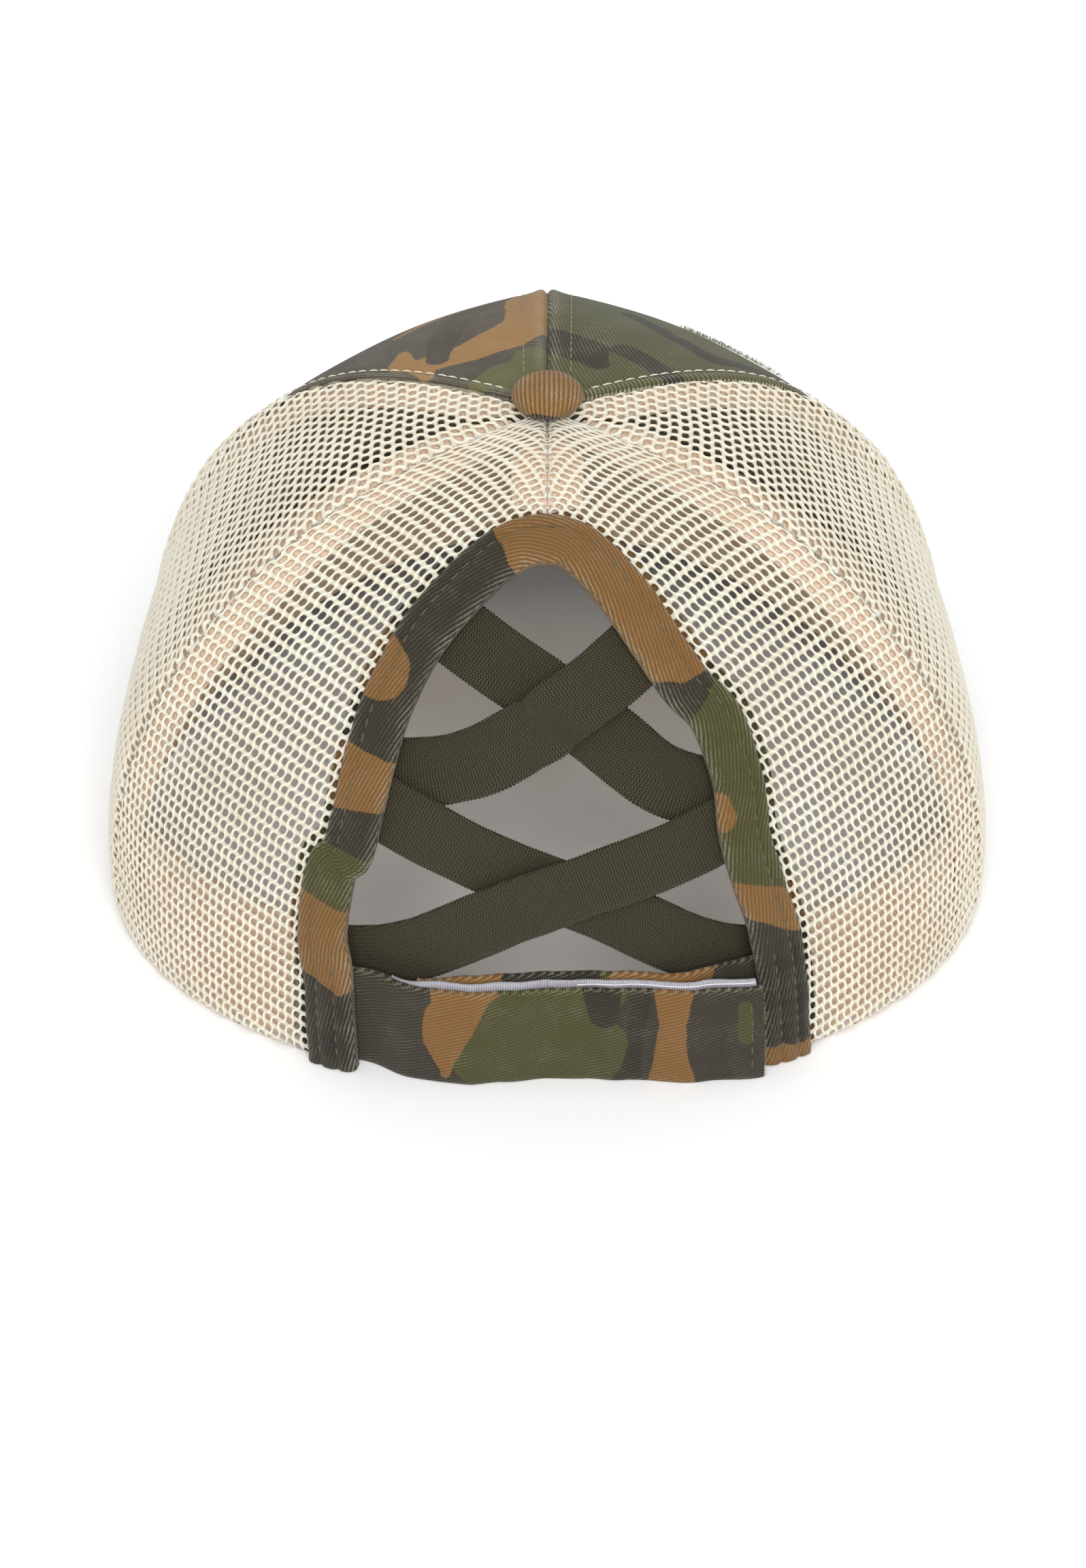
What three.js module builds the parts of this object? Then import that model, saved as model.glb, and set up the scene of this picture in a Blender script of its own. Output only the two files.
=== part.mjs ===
// A ponytail baseball cap: two printed cloth front panels, four mesh panels, a bound arch at the back
// crossed by four elastic straps, and a hook-and-loop closure below it.
// Millimetres, +Y the way the wearer faces, +X to the wearer's right, +Z up, standing on z = 0.
// While the pieces are made, y = 0 is the widest line of the head opening.
import * as THREE from "three";

// Crown
const crownHalfWidth = 95.8;
const crownBack = 69.8; // from the widest line to the back of the rim
const crownFront = 101.8; // from the widest line to the front of the rim
const crownHeight = 118.6;
const crownTopForward = 11.6; // where the button sits
const rimClear = 0.4; // the cloth rim stands this far off the surface
const frontLift = 20; // how far the arch of the peak lifts the middle of the front
const sideBulge = 0.034; // share by which the sides stand out at half height
const panelFlatness = 0.85; // 0 for a round top, 1 for six flat panels at the top
const crownWall = 1.2;
const topHoleRadius = 3.5; // where the six panels meet under the button
const gap = 0.3; // between pieces that lie against each other
const layerGap = 0.4; // between the layers of curved cloth inside the crown

// How full the crown is at the back, sides and front: the exponents of its plan and of its rise
const fullness = {
  back: { plan: 2.47, rise: 2.35 },
  side: { plan: 3.37, rise: 2.06 },
  front: { plan: 2.88, rise: 2.92 },
};

// Seams, as azimuths in degrees from the middle of the back, at the rim and at the top
const rearSeam = { rim: 78.1, top: 54.1 };
const frontSeam = { rim: 117.2, top: 118.0 };

// Button
const buttonRadius = 7.5;
const buttonHeight = 5.8;

// Peak
const peakReach = 68; // beyond the middle of the front of the rim
const peakHalfWidth = 87;
const peakWall = 2.6;
const peakRoundness = 2.4; // exponent of its outline, 2 for an ellipse

// Binding of the arch
const bindingWidth = 10.5;
const bindingWall = 1.0;
const bindingTurnUnder = 2.8; // how much further the leg inside the cap reaches

// The binding's middle line: how far up the crown, and the azimuth to the left and right
const arch = [
  { up: 0.0, left: 28.2, right: 31.9 },
  { up: 0.1, left: 29.2, right: 31.4 },
  { up: 0.17, left: 30.6, right: 30.5 },
  { up: 0.225, left: 30.4, right: 29.2 },
  { up: 0.29, left: 27.9, right: 28.3 },
  { up: 0.36, left: 27.7, right: 29.0 },
  { up: 0.43, left: 27.5, right: 28.3 },
  { up: 0.5, left: 26.6, right: 24.2 },
  { up: 0.57, left: 24.6, right: 20.9 },
  { up: 0.64, left: 20.5, right: 17.5 },
  { up: 0.7, left: 15.2, right: 13.0 },
  { up: 0.745, left: 7.6, right: 6.8 },
  { up: 0.761, left: 0.0, right: 0.0 },
];

// Elastic straps
const elasticWidth = 15;
const elasticWall = 1.2;

// Each strap's middle line: azimuth, how far up the crown, and how many strap layers it lies deeper
// than a strap sewn straight under the binding
const elasticLines = {
  elastic_strap_upper_back: [
    { azimuth: -25.5, up: 0.613, deeper: 0.4 },
    { azimuth: -20.0, up: 0.594, deeper: 0.4 },
    { azimuth: -6.9, up: 0.536, deeper: 2.8 },
    { azimuth: 4.4, up: 0.482, deeper: 3.33 },
    { azimuth: 11.8, up: 0.422, deeper: 3.07 },
    { azimuth: 17.4, up: 0.368, deeper: 2.4 },
    { azimuth: 23.0, up: 0.344, deeper: 1.33 },
    { azimuth: 29.5, up: 0.328, deeper: 1.2 },
  ],
  elastic_strap_upper_front: [
    { azimuth: 22.5, up: 0.585, deeper: 0.2 },
    { azimuth: 17.7, up: 0.559, deeper: 0.1 },
    { azimuth: 8.9, up: 0.513, deeper: 0.4 },
    { azimuth: 3.8, up: 0.488, deeper: 0.73 },
    { azimuth: -3.9, up: 0.446, deeper: 1 },
    { azimuth: -9.8, up: 0.406, deeper: 1.2 },
    { azimuth: -15.9, up: 0.382, deeper: 1.6 },
    { azimuth: -21.1, up: 0.371, deeper: 1.53 },
    { azimuth: -28.0, up: 0.366, deeper: 1.2 },
  ],
  elastic_strap_lower_back: [
    { azimuth: -29.0, up: 0.335, deeper: 0 },
    { azimuth: -24.9, up: 0.321, deeper: 0 },
    { azimuth: -17.6, up: 0.293, deeper: 0.67 },
    { azimuth: -10.7, up: 0.262, deeper: 2.27 },
    { azimuth: -3.3, up: 0.234, deeper: 2.93 },
    { azimuth: 3.2, up: 0.213, deeper: 3.13 },
    { azimuth: 13.0, up: 0.165, deeper: 3 },
    { azimuth: 19.3, up: 0.131, deeper: 2.8 },
    { azimuth: 26.9, up: 0.107, deeper: 2.6 },
    { azimuth: 32.0, up: 0.1, deeper: 2.6 },
  ],
  elastic_strap_lower_front: [
    { azimuth: 30.0, up: 0.303, deeper: 0 },
    { azimuth: 25.8, up: 0.29, deeper: 0 },
    { azimuth: 17.5, up: 0.264, deeper: 0.4 },
    { azimuth: 6.9, up: 0.237, deeper: 0.8 },
    { azimuth: -3.0, up: 0.206, deeper: 1 },
    { azimuth: -12.1, up: 0.162, deeper: 1.2 },
    { azimuth: -19.1, up: 0.124, deeper: 2.6 },
    { azimuth: -28.5, up: 0.104, deeper: 2.7 },
    { azimuth: -32.5, up: 0.1, deeper: 2.6 },
  ],
};

// Closure
const closureHeight = 24.5;
const closureWall = 1.6;
const hookTapeWall = 1.2;
const closureSlack = 5; // how far the strap strays in and out of the line of the rim
const tapeShows = 0.8; // the hook tape stands this far above the outer strap
const innerShows = 1.6; // the inner strap stands this far above the outer strap

// Where the face of each closure piece runs: azimuth, and shares of the slack out of the rim's line
const outerStrapLine = [
  { azimuth: -33, out: -0.6 },
  { azimuth: -24, out: -0.6 },
  { azimuth: -17.6, out: -0.14 },
  { azimuth: -10.5, out: -0.14 },
  { azimuth: -5.4, out: -0.46 },
  { azimuth: 0, out: -0.74 },
  { azimuth: 4.8, out: -0.68 },
  { azimuth: 9.8, out: -0.44 },
  { azimuth: 20, out: 0.3 },
  { azimuth: 27.6, out: 0.8 },
];
const hookTapeEnds = { left: -21, right: 27.1 };
const innerStrapEnds = { left: -17.5, right: 35 };

// Inside of the cap
const sweatbandHeight = 33;
const sweatbandWall = 1.2;
const seamTapeWidth = 16;
const seamTapeWall = 0.8;

// Fineness of the sheets, as how many faces they have along and across
const rowsUp = 15;
const frontColumns = 13;
const meshColumns = 8;
const archRows = 20;
const topRows = 5;
const bindingSteps = 52;
const strapSteps = 22;
const closureSteps = 18;
const sweatbandSteps = 56;
const tapeSteps = 18;
const narrowColumns = 4;
const peakSteps = 28;
const peakColumns = 7;
const buttonSteps = 9;
const buttonSides = 28;

const degrees = Math.PI / 180;
const wholeTurn = 360;
const panelAngle = Math.PI / 3; // six panels round the top
const legOuterDepth = crownWall + layerGap; // top of the layer behind the crown's wall
const sewnUnderDepth = legOuterDepth + bindingWall + layerGap; // top of what is sewn behind the binding
const sweatbandDepth = legOuterDepth + Math.max(seamTapeWall, bindingWall) + layerGap;

// Crown surface

// The rim is two half ellipses, lifted at the front where the peak arches.
function rimLift(azimuth) {
  const forward = Math.max(-Math.cos(azimuth), 0);
  return rimClear + frontLift * forward * forward;
}

function exponent(azimuth, name) {
  const c = Math.cos(azimuth);
  const end = c > 0 ? fullness.back[name] : fullness.front[name];
  return fullness.side[name] + (end - fullness.side[name]) * c * c;
}

function seamAzimuths(up) {
  const rear = (rearSeam.rim + (rearSeam.top - rearSeam.rim) * up) * degrees;
  const front = (frontSeam.rim + (frontSeam.top - frontSeam.rim) * up) * degrees;
  return { rear, front };
}

// The share of the distance to the nearest seams: -1 and 1 on them, 0 midway.
function shareOfPanel(azimuth, up) {
  const turned = Math.abs(Math.atan2(Math.sin(azimuth), Math.cos(azimuth)));
  const { rear, front } = seamAzimuths(up);
  const stops = [0, rear, front, Math.PI];
  const k = turned < rear ? 0 : turned < front ? 1 : 2;
  return (2 * (turned - stops[k])) / (stops[k + 1] - stops[k]) - 1;
}

// A superellipse dome: `up` runs from 0 at the rim to 1 at the button, and the seams stand out as ridges.
function crownAt(azimuth, up) {
  const s = Math.sin(azimuth);
  const c = Math.cos(azimuth);
  const rise = (up * Math.PI) / 2;
  const spread = Math.pow(Math.max(Math.cos(rise), 0), 2 / exponent(azimuth, "plan"));
  const height = Math.pow(Math.max(Math.sin(rise), 0), 2 / exponent(azimuth, "rise"));
  const ridge = Math.cos(panelAngle / 2) / Math.cos((panelAngle / 2) * shareOfPanel(azimuth, up));
  const flat = 1 - panelFlatness * Math.pow(Math.max(Math.sin(rise), 0), 1.2) * (1 - ridge);
  const bulge = 1 + sideBulge * Math.sin(Math.min(up / 0.6, 1) * Math.PI) * s * s;
  const reach = spread * flat * bulge;
  const depth = c > 0 ? crownBack : crownFront;
  const low = rimLift(azimuth);
  return new THREE.Vector3(
    crownHalfWidth * s * reach,
    crownTopForward * (1 - reach) - depth * c * reach,
    low + (crownHeight - low) * height,
  );
}

function crownSlopes(azimuth, up) {
  const step = 1e-4;
  const lower = Math.max(up - step, 0);
  const across = crownAt(azimuth + step, up).sub(crownAt(azimuth - step, up)).divideScalar(2 * step);
  const rising = crownAt(azimuth, up + step)
    .sub(crownAt(azimuth, lower))
    .divideScalar(up + step - lower);
  return { across, rising };
}

// The way out of the cloth, which on a seam is midway between its two panels.
function wayOut(azimuth, up) {
  const { across, rising } = crownSlopes(azimuth, up);
  return across.cross(rising).normalize();
}

// A point `out` millimetres outside the crown's face, or inside it when `out` is negative.
function onCrown(azimuth, up, out) {
  return crownAt(azimuth, up).addScaledVector(wayOut(azimuth, up), out);
}

// How far up the crown lies a given height above its rim.
function upAtHeight(azimuth, height) {
  const share = height / (crownHeight - rimLift(azimuth));
  return (Math.asin(Math.pow(share, exponent(azimuth, "rise") / 2)) * 2) / Math.PI;
}

// How far up the crown it comes within a given radius of the button's axis.
function upAtRadius(azimuth, radius) {
  const axis = new THREE.Vector2(0, crownTopForward);
  let low = 0.5;
  let high = 1;
  for (let i = 0; i < 40; i++) {
    const middle = (low + high) / 2;
    const p = crownAt(azimuth, middle);
    if (new THREE.Vector2(p.x, p.y).distanceTo(axis) > radius) low = middle;
    else high = middle;
  }
  return low;
}

// Where one gets to on the crown by going `distance` millimetres straight up from `up`.
function upAfter(azimuth, up, distance) {
  const parts = 20;
  let at = up;
  for (let i = 0; i < parts; i++) at += distance / parts / crownSlopes(azimuth, at).rising.length();
  return at;
}

// Meshes

function closedGeometry(points, faces) {
  const [a, b, c] = [new THREE.Vector3(), new THREE.Vector3(), new THREE.Vector3()];
  let volume = 0;
  for (let i = 0; i < faces.length; i += 3) {
    a.copy(points[faces[i]]);
    b.copy(points[faces[i + 1]]);
    c.copy(points[faces[i + 2]]);
    volume += a.dot(b.cross(c)) / 6;
  }
  const facingOut = volume > 0 ? faces : faces.slice().reverse();
  const geometry = new THREE.BufferGeometry().setFromPoints(points);
  geometry.setIndex(facingOut);
  geometry.computeVertexNormals();
  return geometry;
}

// A sheet with a wall: point(i, j, back) gives the face, or the side behind it when `back` is true.
function sheet(rows, columns, point) {
  const points = [];
  for (const back of [false, true]) {
    for (let i = 0; i <= rows; i++) {
      for (let j = 0; j <= columns; j++) points.push(point(i / rows, j / columns, back, i, j));
    }
  }
  const at = (i, j, back) => (back * (rows + 1) + i) * (columns + 1) + j;
  const faces = [];
  const quad = (p, q, r, s) => faces.push(p, q, r, p, r, s);
  for (let i = 0; i < rows; i++) {
    for (let j = 0; j < columns; j++) {
      quad(at(i, j, 0), at(i, j + 1, 0), at(i + 1, j + 1, 0), at(i + 1, j, 0));
      quad(at(i, j, 1), at(i + 1, j, 1), at(i + 1, j + 1, 1), at(i, j + 1, 1));
    }
  }
  for (let i = 0; i < rows; i++) {
    quad(at(i, 0, 0), at(i + 1, 0, 0), at(i + 1, 0, 1), at(i, 0, 1));
    quad(at(i, columns, 0), at(i, columns, 1), at(i + 1, columns, 1), at(i + 1, columns, 0));
  }
  for (let j = 0; j < columns; j++) {
    quad(at(0, j, 0), at(0, j, 1), at(0, j + 1, 1), at(0, j + 1, 0));
    quad(at(rows, j, 0), at(rows, j + 1, 0), at(rows, j + 1, 1), at(rows, j, 1));
  }
  return closedGeometry(points, faces);
}

// A closed section carried along a line of stations: point(i, corner) places a corner at a station.
function swept(stations, section, point) {
  const points = [];
  for (let i = 0; i <= stations; i++) {
    for (const corner of section) points.push(point(i, corner));
  }
  const count = section.length;
  const faces = [];
  for (let i = 0; i < stations; i++) {
    for (let j = 0; j < count; j++) {
      const next = (j + 1) % count;
      const [p, q, r, s] = [i * count + j, i * count + next, (i + 1) * count + next, (i + 1) * count + j];
      faces.push(p, q, r, p, r, s);
    }
  }
  const end = stations * count;
  for (const [p, q, r] of THREE.ShapeUtils.triangulateShape(section, [])) {
    faces.push(r, q, p);
    faces.push(end + p, end + q, end + r);
  }
  return closedGeometry(points, faces);
}

// A smooth line through the rows of a table, as a function that gives the named values at a share of it.
function smoothTable(rows, names) {
  const curve = new THREE.CatmullRomCurve3(
    rows.map((row) => new THREE.Vector3(...names.map((name) => row[name]))),
    false,
    "centripetal",
  );
  return (share) => curve.getPoint(share);
}

// The value of one column of a table at a given azimuth, with smooth steps between its rows.
function alongAzimuth(rows, azimuth, name) {
  const last = rows.length - 2;
  const found = rows.findIndex((row, i) => i <= last && azimuth <= rows[i + 1].azimuth);
  const k = found < 0 ? last : found;
  const share = (azimuth - rows[k].azimuth) / (rows[k + 1].azimuth - rows[k].azimuth);
  const eased = THREE.MathUtils.smoothstep(share, 0, 1);
  return rows[k][name] + (rows[k + 1][name] - rows[k][name]) * eased;
}

// Six panels

// A panel between two edges, each given as an azimuth at a height, less half the gap to its neighbour.
function crownPanel(ups, columns, fromEdge, toEdge) {
  const rows = ups.length - 1;
  return sheet(rows, columns, (rowShare, share, back, i) => {
    const up = ups[i];
    const from = fromEdge(up, i);
    const to = toEdge(up, i);
    const rough = from + (to - from) * share;
    const top = upAtRadius(rough, topHoleRadius);
    const reached = up * top;
    const p = crownAt(rough, reached);
    const radius = Math.hypot(p.x, p.y - crownTopForward);
    const inset = (gap / 2 / radius) * (1 - 2 * share) * Math.sign(to - from);
    return crownAt(rough + inset, reached).addScaledVector(wayOut(rough, reached), back ? -crownWall : 0);
  });
}

const evenUps = Array.from({ length: rowsUp + 1 }, (_, i) => {
  const share = i / rowsUp;
  return share * (1.25 - 0.25 * share);
});

function frontPanel(side) {
  const edge = (up) => side * seamAzimuths(up).front;
  return crownPanel(evenUps, frontColumns, edge, () => side * Math.PI);
}

function sidePanel(side) {
  const rear = (up) => side * seamAzimuths(up).rear;
  const front = (up) => side * seamAzimuths(up).front;
  return crownPanel(evenUps, meshColumns, rear, front);
}

const archLeft = smoothTable(arch, ["up", "left"]);
const archRight = smoothTable(arch, ["up", "right"]);

// The arch's middle line on one side, as { azimuth, up }; share 0 at the rim and 1 at its top.
function archSide(side, share) {
  const p = side < 0 ? archLeft(share) : archRight(share);
  return { azimuth: side * Math.max(p.y, 0) * degrees, up: p.x };
}

// The mesh beside the arch runs from the arch's middle line, inside its binding, to the rear seam.
function rearPanel(side) {
  const topOf = (azimuth) => upAtRadius(azimuth, topHoleRadius);
  const starts = [];
  for (let i = 0; i <= archRows; i++) {
    const { azimuth, up } = archSide(side, i / archRows);
    starts.push({ azimuth, up: up / topOf(azimuth) });
  }
  const archTop = starts[archRows].up;
  for (let i = 1; i <= topRows; i++) {
    starts.push({ azimuth: 0, up: archTop + ((1 - archTop) * i) / topRows });
  }
  const ups = starts.map((start) => start.up);
  const from = (up, i) => starts[i].azimuth;
  const to = (up) => side * seamAzimuths(up).rear;
  return crownPanel(ups, meshColumns, from, to);
}

// Binding

// The whole arch from the foot on the left, over its top, to the foot on the right.
function archStation(share) {
  const side = share < 0.5 ? -1 : 1;
  return archSide(side, 1 - Math.abs(2 * share - 1));
}

// A point on the crown `across` millimetres from the arch's middle line, outwards from the opening.
function besideArch(share, across, out) {
  const step = 0.004;
  const here = archStation(share);
  const before = archStation(Math.max(share - step, 0));
  const after = archStation(Math.min(share + step, 1));
  const { across: perAzimuth, rising: perUp } = crownSlopes(here.azimuth, here.up);
  const run = perAzimuth
    .clone()
    .multiplyScalar(after.azimuth - before.azimuth)
    .addScaledVector(perUp, after.up - before.up)
    .normalize();
  const normal = perAzimuth.clone().cross(perUp).normalize();
  const aside = normal.cross(run).multiplyScalar(across);
  const aa = perAzimuth.dot(perAzimuth);
  const uu = perUp.dot(perUp);
  const au = perAzimuth.dot(perUp);
  const pa = aside.dot(perAzimuth);
  const pu = aside.dot(perUp);
  const det = aa * uu - au * au;
  const azimuth = here.azimuth + (pa * uu - pu * au) / det;
  const atFoot = share <= 0 || share >= 1;
  const up = atFoot ? 0 : Math.max(here.up + (pu * aa - pa * au) / det, 0);
  return onCrown(azimuth, up, out);
}

// The binding is folded round the edge of the mesh: a leg outside, a fold in the opening, a leg inside.
function openingBinding() {
  const half = bindingWidth / 2;
  const slot = half - bindingWall;
  const outTop = gap + bindingWall;
  const inTop = -legOuterDepth;
  const inLow = inTop - bindingWall;
  const soft = bindingWall * 0.7; // how far the fold's corners are rounded back
  const corners = [
    [half, gap],
    [half, outTop],
    [0, outTop],
    [-half + soft, outTop],
    [-half, outTop - soft],
    [-half, inLow + soft],
    [-half + soft, inLow],
    [0, inLow],
    [half + bindingTurnUnder, inLow],
    [half + bindingTurnUnder, inTop],
    [0, inTop],
    [-slot, inTop],
    [-slot, gap],
    [0, gap],
  ];
  const section = corners.map(([across, out]) => new THREE.Vector2(across, out));
  return swept(bindingSteps, section, (i, corner) => besideArch(i / bindingSteps, corner.x, corner.y));
}

// Elastic straps

function elasticStrap(rows) {
  const line = smoothTable(rows, ["azimuth", "up", "deeper"]);
  const layer = elasticWall + gap;
  const place = (share) => {
    const p = line(share);
    const depth = sewnUnderDepth + elasticWall / 2 + layer * p.z;
    return onCrown(p.x * degrees, p.y, -depth);
  };
  const section = [
    new THREE.Vector2(-0.5, -0.5),
    new THREE.Vector2(0.5, -0.5),
    new THREE.Vector2(0.5, 0.5),
    new THREE.Vector2(-0.5, 0.5),
  ];
  return swept(strapSteps, section, (i, corner) => {
    const share = i / strapSteps;
    const p = line(share);
    const run = place(Math.min(share + 0.01, 1))
      .sub(place(Math.max(share - 0.01, 0)))
      .normalize();
    const aside = wayOut(p.x * degrees, p.y).cross(run).normalize();
    const flat = run.clone().cross(aside).normalize();
    return place(share)
      .addScaledVector(aside, corner.x * elasticWidth)
      .addScaledVector(flat, corner.y * elasticWall);
  });
}

// Closure

// A point at a height above the surface, `out` millimetres outside the crown's line there.
function besideRim(azimuth, out, height) {
  const p = onCrown(azimuth, upAtHeight(azimuth, Math.max(height - rimClear, 0)), out);
  return p.setZ(height);
}

// A strap standing on edge behind the rim, between two azimuths and two heights.
function uprightBand(from, to, low, high, wall, faceOut) {
  return sheet(closureSteps, 1, (along, rising, back) => {
    const azimuth = from + (to - from) * along;
    const out = faceOut(azimuth) - (back ? wall : 0);
    return besideRim(azimuth * degrees, out, low + (high - low) * rising);
  });
}

const outerFace = (azimuth) => closureSlack * alongAzimuth(outerStrapLine, azimuth, "out");
const hookTapeFace = (azimuth) => outerFace(azimuth) - closureWall - gap;

// The inner strap lies against the hook tape, then turns in behind the binding on the right.
function innerFace(azimuth) {
  const behindTape = hookTapeFace(azimuth) - hookTapeWall - gap;
  const behindBinding = -sewnUnderDepth - gap;
  const turn = THREE.MathUtils.smoothstep(azimuth, 14, 24);
  return behindTape + (Math.min(behindTape, behindBinding) - behindTape) * turn;
}

function closurePieces() {
  const first = outerStrapLine[0].azimuth;
  const last = outerStrapLine[outerStrapLine.length - 1].azimuth;
  const tape = hookTapeEnds;
  const inner = innerStrapEnds;
  const top = closureHeight;
  return {
    closure_strap_outer: uprightBand(first, last, 0, top, closureWall, outerFace),
    closure_hook_tape: uprightBand(tape.left, tape.right, gap, top + tapeShows, hookTapeWall, hookTapeFace),
    closure_strap_inner: uprightBand(inner.left, inner.right, gap, top + innerShows, closureWall, innerFace),
  };
}

// Inside of the cap

// The sweatband starts beyond the ends of the straps that are sewn behind the binding.
function sweatband() {
  const foot = (name) => Math.max(...arch.filter((row) => row.up < 0.25).map((row) => row[name]));
  const past = ((bindingWidth / 2 + gap) / crownBack) * (1 / degrees);
  const from = foot("right") + past;
  const to = wholeTurn - foot("left") - past;
  return sheet(sweatbandSteps, narrowColumns, (along, rising, back) => {
    const azimuth = (from + (to - from) * along) * degrees;
    const low = upAtHeight(azimuth, gap);
    const high = upAtHeight(azimuth, sweatbandHeight);
    const up = low + (high - low) * rising;
    return onCrown(azimuth, up, -sweatbandDepth - (back ? sweatbandWall : 0));
  });
}

// A tape behind a seam, narrowed where the tapes run together under the button.
function seamTape(seamAt, from, to) {
  const crowding = Math.tan(0.42 * panelAngle);
  return sheet(tapeSteps, narrowColumns, (rising, across, back) => {
    const up = from + (to - from) * rising;
    const seam = seamAt(up);
    const p = crownAt(seam, up);
    const radius = Math.hypot(p.x, p.y - crownTopForward);
    const half = Math.min(seamTapeWidth / 2, radius * crowding);
    const perAzimuth = crownSlopes(seam, up).across.length();
    const azimuth = seam + ((2 * across - 1) * half) / perAzimuth;
    return onCrown(azimuth, up, -legOuterDepth - (back ? seamTapeWall : 0));
  });
}

function seamTapes() {
  const nearTop = (azimuth) => upAtRadius(azimuth, topHoleRadius + buttonRadius / 2);
  const archTop = arch[arch.length - 1].up;
  const aboveBinding = upAfter(0, archTop, bindingWidth / 2 + bindingTurnUnder + gap);
  const alongSeam = (sign, name) => {
    const foot = upAtHeight(seamAzimuths(0)[name], 2 * gap);
    return seamTape((up) => sign * seamAzimuths(up)[name], foot, nearTop(seamAzimuths(1)[name]));
  };
  return {
    seam_tape_back: seamTape(() => 0, aboveBinding, nearTop(0)),
    seam_tape_left: alongSeam(-1, "rear"),
    seam_tape_right: alongSeam(1, "rear"),
    seam_tape_front_left: alongSeam(-1, "front"),
    seam_tape_front_right: alongSeam(1, "front"),
  };
}

// Peak

// The peak's upper face follows the arch of the rim across and hangs a little towards its edge, until
// its sides meet the surface.
function peak() {
  const corner = frontSeam.rim * degrees;
  const inner = (share) => {
    const azimuth = corner + (2 * Math.PI - 2 * corner) * share;
    const p = besideRim(azimuth, gap, 0);
    return new THREE.Vector2(p.x, p.y);
  };
  const start = inner(0).y - 2 * peakWall;
  const reach = crownFront + peakReach - start;
  const outer = (share) => {
    const turn = Math.PI * share;
    const power = 2 / peakRoundness;
    const x = Math.sign(Math.cos(turn)) * Math.pow(Math.abs(Math.cos(turn)), power);
    return new THREE.Vector2(peakHalfWidth * x, start + reach * Math.pow(Math.sin(turn), power));
  };
  const place = (across, forward) => {
    const turn = 0.5 - 0.5 * Math.cos(Math.PI * across);
    const even = 0.5 * (across + turn);
    return inner(across).lerp(outer(0.02 + 0.96 * even), forward);
  };
  const archHeight = (x) => {
    const share = x / crownHalfWidth;
    return rimClear + frontLift * (1 - share * share) - gap;
  };
  const edge = Array.from({ length: peakSteps + 1 }, (_, i) => place(i / peakSteps, 1));
  const hanging = edge.map((p) => (archHeight(p.x) - peakWall) / (p.y - start));
  const slope = Math.min(...hanging.filter((value, i) => edge[i].y - start > peakWall));
  return sheet(peakSteps, peakColumns, (across, forward, back) => {
    const p = place(across, forward);
    const drop = slope * (p.y - start) * forward;
    const z = archHeight(p.x) - drop - (back ? peakWall : 0);
    return new THREE.Vector3(p.x, p.y, z);
  });
}

// Button

function topButton() {
  const widest = buttonHeight * 0.44;
  const profile = [new THREE.Vector2(0, 0)];
  for (let i = 0; i <= buttonSteps; i++) {
    const turn = (-0.3 + 0.8 * (i / buttonSteps)) * Math.PI;
    const tall = turn > 0 ? buttonHeight - widest : widest / Math.sin(0.3 * Math.PI);
    const radius = i === buttonSteps ? 0 : buttonRadius * Math.pow(Math.cos(turn), 0.8);
    profile.push(new THREE.Vector2(radius, widest + tall * Math.sin(turn)));
  }
  profile[1].y = 0;
  const geometry = new THREE.LatheGeometry(profile, buttonSides);
  geometry.rotateX(Math.PI / 2);
  return geometry;
}

// Materials

function cloth(colour, roughness) {
  return new THREE.MeshStandardMaterial({
    color: colour,
    roughness,
    metalness: 0,
    side: THREE.DoubleSide,
  });
}

const printedTwill = () => cloth("#5a5233", 0.9);
const creamMesh = () => cloth("#e9e2d2", 0.75);
const oliveElastic = () => cloth("#3d3c30", 0.85);
const peachTape = () => cloth("#e6cdb4", 0.9);
const lavenderTape = () => cloth("#cfcbdb", 0.6);

// Assembly

const cap = new THREE.Group();

function add(name, geometry, material) {
  const mesh = new THREE.Mesh(geometry, material);
  mesh.name = name;
  cap.add(mesh);
  return mesh;
}

for (const [side, word] of [
  [-1, "left"],
  [1, "right"],
]) {
  add("front_panel_" + word, frontPanel(side), printedTwill());
  add("side_mesh_" + word, sidePanel(side), creamMesh());
  add("rear_mesh_" + word, rearPanel(side), creamMesh());
}
add("opening_binding", openingBinding(), printedTwill());
for (const [name, rows] of Object.entries(elasticLines)) {
  add(name, elasticStrap(rows), oliveElastic());
}
const closureMaterials = {
  closure_strap_outer: printedTwill(),
  closure_hook_tape: lavenderTape(),
  closure_strap_inner: printedTwill(),
};
for (const [name, geometry] of Object.entries(closurePieces())) {
  add(name, geometry, closureMaterials[name]);
}
add("sweatband", sweatband(), peachTape());
for (const [name, geometry] of Object.entries(seamTapes())) add(name, geometry, peachTape());
add("peak", peak(), printedTwill());
const button = add("top_button", topButton(), printedTwill());
button.position.set(0, crownTopForward, crownHeight + gap);

// The cap's own origin is the middle of its footprint, on the surface it stands on.
const bounds = new THREE.Box3().setFromObject(cap);
const middle = bounds.getCenter(new THREE.Vector3());
const part = new THREE.Group();
cap.position.set(-middle.x, -middle.y, -bounds.min.z);
part.add(cap);

export default part;
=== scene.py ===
# A ponytail baseball cap from behind: printed twill front, cream net sides and back, a bound arch crossed
# by elastic straps, and a hook-and-loop closure. Shapes are worked out in millimetres.
import math
from functools import partial

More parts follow.
